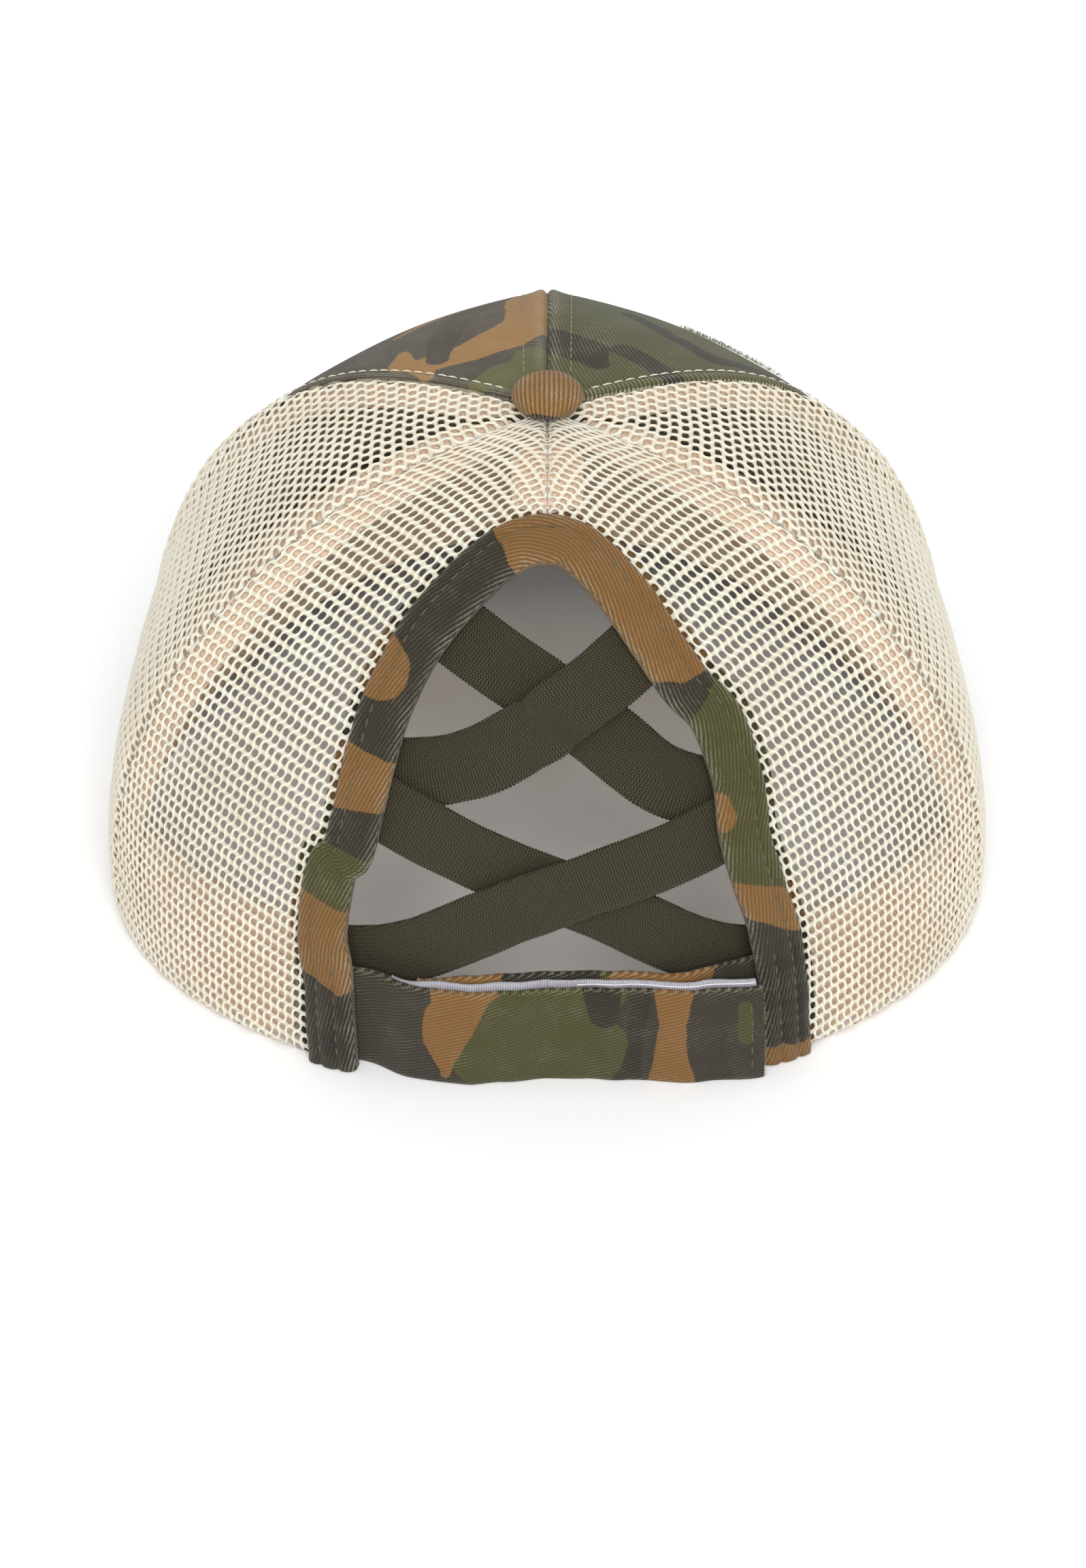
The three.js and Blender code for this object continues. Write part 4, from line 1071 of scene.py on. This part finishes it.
def elasticStrap(name, rows):
    # A flat strap along a line on the crown, the line evened out: its half width is 7.35 mm and a scallop of
    # 0.13 sin(2 pi along / 0.75).
    def place(share):
        p = smoothLine(rows, share)
        depth = elastic["sewnUnder"] + elastic["wall"] / 2 + (elastic["wall"] + 0.3) * p[..., 2]
        return onCrown(np.radians(p[..., 0]), p[..., 1], -depth)

    dense = np.linspace(0, 1, 1500)
    lengths = lengthsAlong(place(dense))
    along = np.linspace(0, lengths[-1], elastic["stations"])
    share = np.interp(along, lengths, dense)
    p = smoothLine(rows, share)
    middle = evened(place(share), elastic["evenOver"])
    run = unit(np.gradient(middle, axis=0))
    outward = unit(evened(wayOut(np.radians(p[:, 0]), p[:, 1]), elastic["evenOver"]))
    aside = unit(np.cross(outward, run))
    flat = unit(np.cross(run, aside))
    across, through = elasticSection[:, 0], elasticSection[:, 1]
    scallop = elastic["scallop"] * np.sin(along * turn / elastic["scallopPitch"])
    stray = 0.12 * wobble(along, 0 * along, 9.0, len(rows))
    half = elastic["width"] / 2 - 0.15 + scallop[:, None] * (np.abs(across) > 0.9) + stray[:, None]
    section = (middle[:, None, :] + aside[:, None, :] * (across * half)[..., None]
               + flat[:, None, :] * (through * elastic["wall"] / 2)[None, :, None])
    points, faces = sweptMesh(section)
    a = np.broadcast_to(along[:, None], half.shape)
    b = across * elastic["width"] / 2 + 0 * half
    cloth = withEnds(np.stack([a, b, 0 * a], -1))
    makePiece("Elastic strap " + name.replace("_", " "), points, faces, oliveElastic,
              ["elastic_strap_" + name], {"clothPlace": cloth}, creaseDegrees=75)


for name, rows in elasticLines.items():
    elasticStrap(name, rows)
print("elastic straps made")


# Closure

closure = {
    "height": 24.5, "wall": 1.6, "tapeWall": 1.2, "slack": 5.0, "stations": 190,
    "tapeShows": 0.8, "innerShows": 1.6, "tapeDrop": 1.5, "innerDrop": 2.4, "gap": 0.3, "mmPerDegree": 1.63,
    "outerEnds": (-33, 27.6), "tapeEnds": (-21, 27.1), "innerEnds": (-17.5, 35), "stitchAt": 25.9,
}
outerStrapLine = np.array([
    (-33, -0.6), (-24, -0.6), (-17.6, -0.14), (-10.5, -0.14), (-5.4, -0.46), (0, -0.74), (4.8, -0.68),
    (9.8, -0.44), (20, 0.3), (27.6, 0.8),
])


def outerFace(azimuth):
    # How far out the strap's face is at an azimuth in degrees: smooth steps between the rows of its line.
    table = outerStrapLine
    k = np.clip(np.searchsorted(table[:, 0], azimuth, side="left") - 1, 0, len(table) - 2)
    share = (azimuth - table[k, 0]) / (table[k + 1, 0] - table[k, 0])
    return closure["slack"] * (table[k, 1] + (table[k + 1, 1] - table[k, 1]) * ease(share))


def hookTapeFace(azimuth):
    # Behind the outer strap's wall.
    return outerFace(azimuth) - closure["wall"] - closure["gap"]


def innerFace(azimuth):
    # Behind the hook tape, then turned in behind the binding between 14 and 24 degrees.
    behindTape = hookTapeFace(azimuth) - closure["tapeWall"] - closure["gap"]
    behindBinding = -elastic["sewnUnder"] - closure["gap"]
    return behindTape + (np.minimum(behindTape, behindBinding) - behindTape) * ease((azimuth - 14) / 10)


# along the strap from its left end and up it, in mm, and a radius, twice
outerStrapPrint = [
    [(42.5, 9, 10, 63, 10, 7.5), (44, 24, 5.5, 64, 24, 6), (44, 0, 5.5, 62, 0, 5), (95, 12, 1.8, 95, 20, 1.6),
     (60, 14, 8, 62, 8, 8)],
    [(34.9, 25.5, 7.0, 31.6, 2.6, 0.7), (30.3, 19, 3.0, 29.6, 12.5, 3.2), (29.6, 12.5, 3.2, 31.4, 5.5, 1.6),
     (32, 25, 3.2, 40, 25.5, 3.0),
     (80, 26, 4.2, 79.6, 16, 3.0), (79.6, 16, 3.0, 79.2, 9, 3.2), (79.2, 9, 3.2, 79.5, -2, 5.6)],
    [(64.8, 25, 4.2, 65, 18.5, 3.4), (73.4, 26, 2.2, 72.2, 17, 1.9), (72.2, 17, 1.9, 71.6, 9, 1.6),
     (71.6, 9, 1.6, 70.2, -1, 3.1)],
]
innerStrapPrint = [
    [(20, 10, 30, 60, 10, 30)],
    [(20, 26, 8, 44, 26, 4), (70, 20, 6, 84, 26, 7)],
    [(50, 26, 6, 60, 24, 6)],
]
# share of height and of wall, once round a strap with soft edges
strapSection = np.array([
    (0.0, 0.5), (0.004, 0.2), (0.02, 0.04), (0.06, 0.0), (0.10, 0.0), (0.13, 0.0), (0.16, 0.0), (0.24, 0.0),
    (0.34, 0.0), (0.45, 0.0), (0.55, 0.0), (0.66, 0.0), (0.76, 0.0), (0.84, 0.0), (0.87, 0.0), (0.90, 0.0),
    (0.94, 0.0), (0.98, 0.04), (0.996, 0.2), (1.0, 0.5), (0.996, 0.8), (0.97, 1.0), (0.75, 1.0), (0.5, 1.0),
    (0.25, 1.0), (0.03, 1.0), (0.004, 0.8),
])


def closureStrap(name, low, high, ends, faceOut, wall, layers, seed, material, node, drop=0.0):
    # A strap whose face and upper edge stray by a fraction of a mm; the upper edge starts `drop` mm lower and
    # rises over the first 8 degrees.
    azimuth = np.linspace(*ends, closure["stations"])[:, None]
    share, through = strapSection[None, :, 0], strapSection[None, :, 1]
    z = low + (high - low) * share
    out = faceOut(azimuth) - through * wall
    place = np.radians(azimuth)
    mid = besideRim(place, outerFace(azimuth), (low + high) / 2 + 0 * azimuth)[:, 0]
    x = lengthsAlong(mid)[:, None] + (ends[0] - outerStrapLine[0, 0]) * closure["mmPerDegree"]
    onFace = (through < 0.1).astype(float)
    swell = 0.22 * wobble(x, z, 16.0, seed) + 0.1 * wobble(x, z, 5.0, seed + 1)
    wave = 0.2 * wobble(x, 0 * x, 12.0, seed + 4) + 0.1 * wobble(x, 0 * x, 3.0, seed + 5)
    height = np.maximum(z + wave * (2 * share - 1) ** 3 * (share > 0.5), low)
    height = np.maximum(height - drop * (1 - ease((azimuth - ends[0]) / 8)) * (share > 0.5), low)
    section = besideRim(place, out + swell * onFace, height)
    points, faces = sweptMesh(section)
    a = np.broadcast_to(x, section.shape[:2])
    b = np.broadcast_to(z, section.shape[:2])
    attributes = {"clothPlace": withEnds(np.stack([a, b, 0 * a], -1))}
    if layers:
        wear = 0.06 + 0.3 * bell(np.minimum(b - low, high - b), 0.7) + 0.12 * wobble(a, b, 8, seed)
        attributes.update({"print": withEnds(printFields(a, b, layers, seed)), "wear": withEnds(wear)})
    makePiece(name, points, faces, material, [node], attributes, creaseDegrees=70)


top = closure["height"]
closureStrap("Closure strap outside", 0, top, closure["outerEnds"], outerFace, closure["wall"],
             outerStrapPrint, 3, printedTwill, "closure_strap_outer")
closureStrap("Closure hook tape", closure["gap"], top + closure["tapeShows"], closure["tapeEnds"],
             hookTapeFace, closure["tapeWall"], None, 7, lavenderTape, "closure_hook_tape",
             closure["tapeDrop"])
closureStrap("Closure strap inside", closure["gap"], top + closure["innerShows"], closure["innerEnds"],
             innerFace, closure["wall"], innerStrapPrint, 9, printedTwill,
             "closure_strap_inner", closure["innerDrop"])


def closureStitches():
    # A row across the outer strap, just inside its free end.
    at = closure["stitchAt"]
    place = lambda s: besideRim(np.radians(at + 0 * s), outerFace(at + 0 * s) + 0.1, 3 + (top - 6) * s)
    outward = lambda s: wayOut(np.radians(at + 0 * s), 0 * s + 0.1)
    points, faces = stitchAlong(place, outward, bindingStitch)
    makePiece("Closure stitches", points, faces, oliveThread)


lip = {"ends": (4, 26.8), "stations": 120, "behind": 1.75, "above": 0.12, "rise": 0.2, "radius": 0.15}


def tapeLip():
    # The white edge of the hook tape, a thin cord that shows above the outer strap on the right.
    azimuth = np.linspace(*lip["ends"], lip["stations"])
    height = top + lip["above"] + lip["rise"] * ease((azimuth - lip["ends"][0]) / 4)
    line = besideRim(np.radians(azimuth), outerFace(azimuth) - lip["behind"], height)
    run = unit(np.gradient(line, axis=0))
    up = np.tile([0.0, 0.0, 1.0], (len(line), 1))
    side = unit(np.cross(run, up))
    around = np.arange(8) * turn / 8
    ring = side[:, None] * np.cos(around)[None, :, None] + up[:, None] * np.sin(around)[None, :, None]
    points, faces = sweptMesh(line[:, None] + lip["radius"] * ring)
    makePiece("Hook tape lip", points, faces, whiteThread)


def looseThreads(name, roots, outward, lie, size, material):
    # Short bent fibres, each a tube of three sides: root + lie s length + outward sin(2.4 s) lift, its radius
    # shrinking by 0.6 s.
    count = len(roots)
    shares = np.linspace(0, 1, 4)[None, :, None]
    lie = unit(lie + rng.normal(0, 0.45, (count, 3)))[:, None]
    outward = unit(outward + rng.normal(0, 0.35, (count, 3)))[:, None]
    length = size["length"] * rng.uniform(0.45, 1.3, (count, 1, 1))
    lift = size["lift"] * rng.uniform(0.3, 1.2, (count, 1, 1))
    line = roots[:, None] + lie * shares * length + outward * (np.sin(2.4 * shares) * lift)
    run = unit(np.gradient(line, axis=1))
    side = unit(np.cross(run, outward + 1e-4))
    other = np.cross(side, run)
    around = (np.arange(3) * turn / 3)[None, None, :, None]
    radius = size["radius"] * (1 - 0.6 * shares)[..., None]
    p = line[:, :, None] + radius * (side[:, :, None] * np.cos(around) + other[:, :, None] * np.sin(around))
    tube = np.concatenate([gridFaces(4, 3, closedAround=True), [[0, 2, 1, -1], [9, 10, 11, -1]]])
    one = turnedOut(p[0].reshape(-1, 3), tube)
    makePiece(name, p.reshape(-1, 3), repeated(one, count, 12), material)


fuzz = {"alongTop": 420, "atEnd": 150, "length": 0.6, "lift": 0.25, "radius": 0.05}
tufts = {"count": 420, "length": 0.55, "lift": 0.4, "radius": 0.06}


def strapFuzz():
    # Threads that stand out of the outer strap's upper edge and round its free end.
    many, few = fuzz["alongTop"], fuzz["atEnd"]
    azimuth = rng.uniform(-29, 27.5, many)
    out = outerFace(azimuth) - rng.uniform(0.0, 0.5, many)
    upper = besideRim(np.radians(azimuth), out, top - rng.uniform(0, 0.5, many))
    height = rng.uniform(0.5, top - 0.3, few)
    endAzimuth = np.full(few, 27.55)
    end = besideRim(np.radians(endAzimuth), outerFace(endAzimuth) - rng.uniform(0.0, 0.5, few), height)
    away = np.repeat([[0.0, -0.5, 0.7], [0.7, -0.7, 0.1]], [many, few], axis=0)
    lie = np.repeat([[0.6, -0.1, 0.3], [0.5, 0.1, -0.3]], [many, few], axis=0)
    roots = np.concatenate([upper, end])
    looseThreads("Closure loose threads", roots, away, lie, fuzz, lintThread)


def frontTufts():
    # Frayed threads on the right front panel, where the cloth is rubbed through.
    count = tufts["count"]
    azimuth, up = np.radians(rng.uniform(131, 151, count)), 0.60 + 0.022 * rng.normal(0, 1, count)
    roots = onCrown(azimuth, up, 0.1)
    away = wayOut(azimuth, up)
    lie = away * 0.6 + [0.2, 0, 0.2]
    looseThreads("Front panel tufts", roots, away, lie, tufts, lintThread)


closureStitches()
tapeLip()
strapFuzz()
frontTufts()
print("closure made")


# Sweatband and seam tapes

band = {
    "height": 33.0, "clear": 0.3, "face": 3.05, "back": 4.2, "ends": (36.6, 324.7),
    "rows": 14, "columns": 260,
}
tape = {"width": 16.0, "face": 1.65, "back": 2.35, "bow": 0.1, "nearButton": 7.25, "rows": 70, "columns": 7}


def sweatband():
    # The band inside the rim: its back moves in by 0.25 sin(pi share) mm, so it is fuller halfway up.
    azimuth = np.radians(np.linspace(*band["ends"], band["columns"]))[None, :]
    share = np.linspace(0, 1, band["rows"])[:, None]
    low, high = upAtHeight(azimuth, band["clear"]), upAtHeight(azimuth, band["height"])
    up = low + (high - low) * share
    swell = 0.25 * np.sin(np.pi * share) + 0.12 * wobble(azimuth * 80, share * band["height"], 14, 3)
    face = onCrown(azimuth, up, -band["face"] + np.minimum(swell, 0))
    back = onCrown(azimuth, up, -band["back"] - np.abs(swell))
    points, faces = sheetMesh(face, back)
    x, y = np.broadcast_arrays(azimuth * 88, share * band["height"])
    makePiece("Sweatband", points, faces, peachTape, ["sweatband"],
              {"clothPlace": twice(np.stack([x, y, 0 * x], -1))})


def seamTape(name, seam, low):
    # A tape behind a seam, bowed a little towards it and narrower near the top, up to the button's edge.
    high = float(upAtRadius(seam(np.array(0.96)), tape["nearButton"]))
    up = (low + (high - low) * (1 - (1 - np.linspace(0, 1, tape["rows"])) ** 1.3))[:, None]
    across = np.linspace(-1, 1, tape["columns"])[None, :]
    azimuth = seam(up)
    radius = fromAxis(crownAt(azimuth, up))
    half = np.minimum(tape["width"] / 2, radius * math.tan(0.42 * math.pi / 3))
    speed = paceAt(azimuth, up)
    turned = azimuth + across * half / speed
    wave = np.minimum(0.12 * wobble(up * 120, across * 8, 12, 2), 0) - tape["bow"] * np.abs(across)
    face, back = [onCrown(turned, up, wave - tape[side]) for side in ("face", "back")]
    points, faces = sheetMesh(face, back)
    x, y = np.broadcast_arrays(across * tape["width"] / 2, up * 130)
    makePiece("Seam tape " + name.replace("_", " "), points, faces, peachTape,
              ["seam_tape_" + name], {"clothPlace": twice(np.stack([x, y, 0 * x], -1))})


sweatband()
seamTape("back", lambda up: 0 * up, 0.812)
for sign, hand in ((-1, "left"), (1, "right")):
    seamTape(hand, lambda up, sign=sign: sign * seamsAt(up)[0], 0.012)
    seamTape("front_" + hand, lambda up, sign=sign: sign * seamsAt(up)[1], 0.012)
print("inside made")


# Peak

peak = {
    "reach": 68.0, "halfWidth": 87.0, "wall": 2.6, "roundness": 2.4, "rows": 90, "columns": 44,
    "stitchRows": 6, "groove": 0.18,
}
# across and forward in mm and a radius, twice
peakPrint = [
    [(-60, 150, 16, -20, 160, 10), (30, 120, 14, 70, 130, 12), (-10, 120, 9, 5, 112, 7)],
    [(-35, 125, 8, -18, 135, 9), (10, 155, 9, 40, 150, 7), (60, 95, 8, 74, 110, 8),
     (-75, 100, 9, -66, 112, 6)],
    [(-50, 135, 5, -40, 112, 6), (25, 135, 6, 0, 140, 5), (50, 145, 5, 66, 128, 6)],
]


def peakPlaces(across, forward):
    # Plan of the peak: from the rim's front (forward 0) to a superellipse of power 2.4 (forward 1).
    corner = math.radians(crown["frontSeam"][0])
    azimuth = corner + (turn - 2 * corner) * across
    inner = besideRim(azimuth, 0.3 + 0 * azimuth, 0 * azimuth)[..., :2] - [0, shiftY]
    start = besideRim(np.array(corner), np.array(0.3), np.array(0.0))[1] - shiftY - 2 * peak["wall"]
    reach = crown["front"] + peak["reach"] - start
    even = 0.5 * (across + 0.5 - 0.5 * np.cos(np.pi * across))
    around = math.pi * (0.02 + 0.96 * even)
    power = 2 / peak["roundness"]
    cosine = np.cos(around)
    outer = np.stack([peak["halfWidth"] * np.sign(cosine) * np.abs(cosine) ** power,
                      start + reach * np.sin(around) ** power], -1)
    plan = inner + (outer - inner) * forward[..., None]
    return plan, start


def peakArch(x):
    # The rim's arch: lift (1 - (x / half width)^2), less the gap.
    return crown["rimClear"] + crown["frontLift"] * (1 - (x / crown["halfWidth"]) ** 2) - 0.3


def peakSlope():
    # The steepest droop that keeps the whole edge on or above the surface.
    across = np.linspace(0, 1, 29)
    plan, start = peakPlaces(across, np.ones(29))
    clear = plan[:, 1] - start > peak["wall"]
    hanging = (peakArch(plan[clear, 0]) - peak["wall"]) / (plan[clear, 1] - start)
    return hanging.min()


def peakAt(across, forward, down):
    # A point of the peak, `down` mm under its upper face.
    plan, start = peakPlaces(across, forward)
    drop = peakSlope() * (plan[..., 1] - start) * forward
    z = np.maximum(peakArch(plan[..., 0]) - drop - down, 0.02)
    return np.stack([plan[..., 0], plan[..., 1] + shiftY, z], -1)


def peakPiece():
    # Two faces of twill on a board, with rows of stitches that follow the outline.
    across = np.linspace(0, 1, peak["rows"])[None, :]
    forward = np.linspace(0, 1, peak["columns"])[:, None]
    a, f = np.broadcast_arrays(across, forward)
    lines = (np.arange(peak["stitchRows"]) + 0.7) / peak["stitchRows"]
    groove = sum(bell(f - at, 0.012) for at in lines)
    edge = bell(1 - f, 0.02) * 0.9
    top, below = peakAt(a, f, peak["groove"] * groove + edge), peakAt(a, f, peak["wall"] - edge)
    points, faces = sheetMesh(top, below)
    plan, _ = peakPlaces(a, f)
    x, y = plan[..., 0], plan[..., 1]
    fields = printFields(x, y, peakPrint, 4, 1.0)
    wear = 0.08 + 0.4 * bell(1 - f, 0.03) + 0.1 * wobble(x, y, 12, 2)
    place = np.stack([x, y, 0 * x], -1)
    attributes = {"clothPlace": twice(place), "print": twice(fields), "wear": twice(wear)}
    makePiece("Peak", points, faces, printedTwill, ["peak"], attributes, creaseDegrees=70)
    rows = []
    for at in lines:
        place = lambda s, at=at: peakAt(0.03 + 0.94 * s, at + 0 * s, peak["groove"] - 0.05)
        rows.append(stitchAlong(place, lambda s: np.tile([0.0, 0.2, 1.0], (len(s), 1)), peakStitch))
    points, faces = joined(rows)
    makePiece("Peak stitches", points, faces, oliveThread)


peakPiece()
print("peak made")


# Button

button = {"height": 5.8, "radius": 7.5, "widest": 0.44, "pleats": 12, "rings": 30, "corners": 96}
# The last row is painted shade: a small patch of the darkest print colour low on the dome's side towards -Y,
# the side facing the camera.
buttonPrintAndShade = [[(40, 0, 1, 40, 1, 1)], [(0, 0, 30, 1, 1, 30)], [(-5, -10.5, 2.6, 3.5, -11.5, 2.2)]]


def topButton():
    # A covered dome: reach by cos(t)^0.8 and height by sin(t), with soft pleats of the cloth under its rim.
    height, radius, corners = button["height"], button["radius"], button["corners"]
    widest = height * button["widest"]
    shares = np.linspace(0, 1, button["rings"])[:, None]
    angle = (-0.3 + 0.8 * shares) * math.pi
    around = np.linspace(0, turn, corners, endpoint=False)[None, :]
    tall = np.where(angle > 0, height - widest, widest / math.sin(0.3 * math.pi))
    pleat = 1 + 0.02 * np.sin(around * button["pleats"]) * ease((0.35 - shares) / 0.3)
    r = radius * np.maximum(np.cos(angle), 0) ** 0.8 * pleat
    z = widest + tall * np.sin(angle) + buttonLow[2]
    r[0], r[-1] = 0.05, 0.02
    centre = (buttonLow + buttonHigh) / 2
    section = np.stack([centre[0] + r * np.cos(around), centre[1] + r * np.sin(around), z + 0 * around], -1)
    points, faces = sweptMesh(section)
    steps = np.linalg.norm(np.diff(section, axis=0), axis=2)
    length = np.cumsum(np.concatenate([np.zeros((1, corners)), steps]), axis=0)
    out = length[-1:] - length
    flatX, flatY = out * np.cos(around), out * np.sin(around)
    attributes = {
        "clothPlace": withEnds(np.stack([flatX, flatY, 0 * flatX], -1)),
        "print": withEnds(printFields(flatX, flatY, buttonPrintAndShade, 2)),
        "wear": withEnds(0.35 + 0.2 * wobble(flatX, flatY, 5, 2)),
    }
    makePiece("Top button", points, faces, buttonTwill, ["top_button"], attributes,
              creaseDegrees=70)


topButton()
print("button made")


# Floor, light and camera

def plainFloor():
    # A large pale sheet, one quad.
    mesh = bpy.data.meshes.new("Paper floor")
    mesh.from_pydata([(-6, -6, 0), (6, -6, 0), (6, 6, 0), (-6, 6, 0)], [], [(0, 1, 2, 3)])
    paper = {"Base Color": linear("#f8f8f8"), "Roughness": 0.9, "Specular IOR Level": 0.1}
    mesh.materials.append(newMaterial("White background paper", **paper)[0])
    floor = bpy.data.objects.new("Paper_floor", mesh)
    bpy.context.scene.collection.objects.link(floor)


def softLight(name, elevation, azimuth, spread, strength):
    # A sun that fills `spread` degrees of the sky, so its shadows are soft and the floor is even. Azimuth 0
    # is behind the camera, towards -Y, and grows towards +X.
    data = bpy.data.lights.new(name, "SUN")
    data.angle, data.energy = math.radians(spread), strength
    light = bpy.data.objects.new(name.replace(" ", "_"), data)
    light.rotation_euler = (math.radians(90 - elevation), 0, math.radians(azimuth))
    bpy.context.scene.collection.objects.link(light)


plainFloor()
softLight("Broad light behind the camera", 41, 3, 40, 2.45)
softLight("Broad light overhead", 74, 175, 100, 1.2)
world = bpy.data.worlds.new("Studio light")
world.use_nodes = True
world.node_tree.nodes["Background"].inputs["Color"].default_value = linear("#ffffff")
world.node_tree.nodes["Background"].inputs["Strength"].default_value = 0.34
bpy.context.scene.world = world

view = {"lens": 114.1, "sensor": 36, "clip": (0.05, 50), "place": (-0.0009, -0.8811, 0.7208), "tilt": 50.075}
cameraData = bpy.data.cameras.new("Camera")
cameraData.lens = view["lens"]
cameraData.sensor_width = view["sensor"]
cameraData.sensor_fit = "AUTO"
cameraData.clip_start, cameraData.clip_end = view["clip"]
camera = bpy.data.objects.new("Camera", cameraData)
camera.location = view["place"]
camera.rotation_euler = (math.radians(view["tilt"]), 0, 0)
bpy.context.scene.collection.objects.link(camera)
bpy.context.scene.camera = camera
bpy.context.scene.view_settings.view_transform = "Standard"
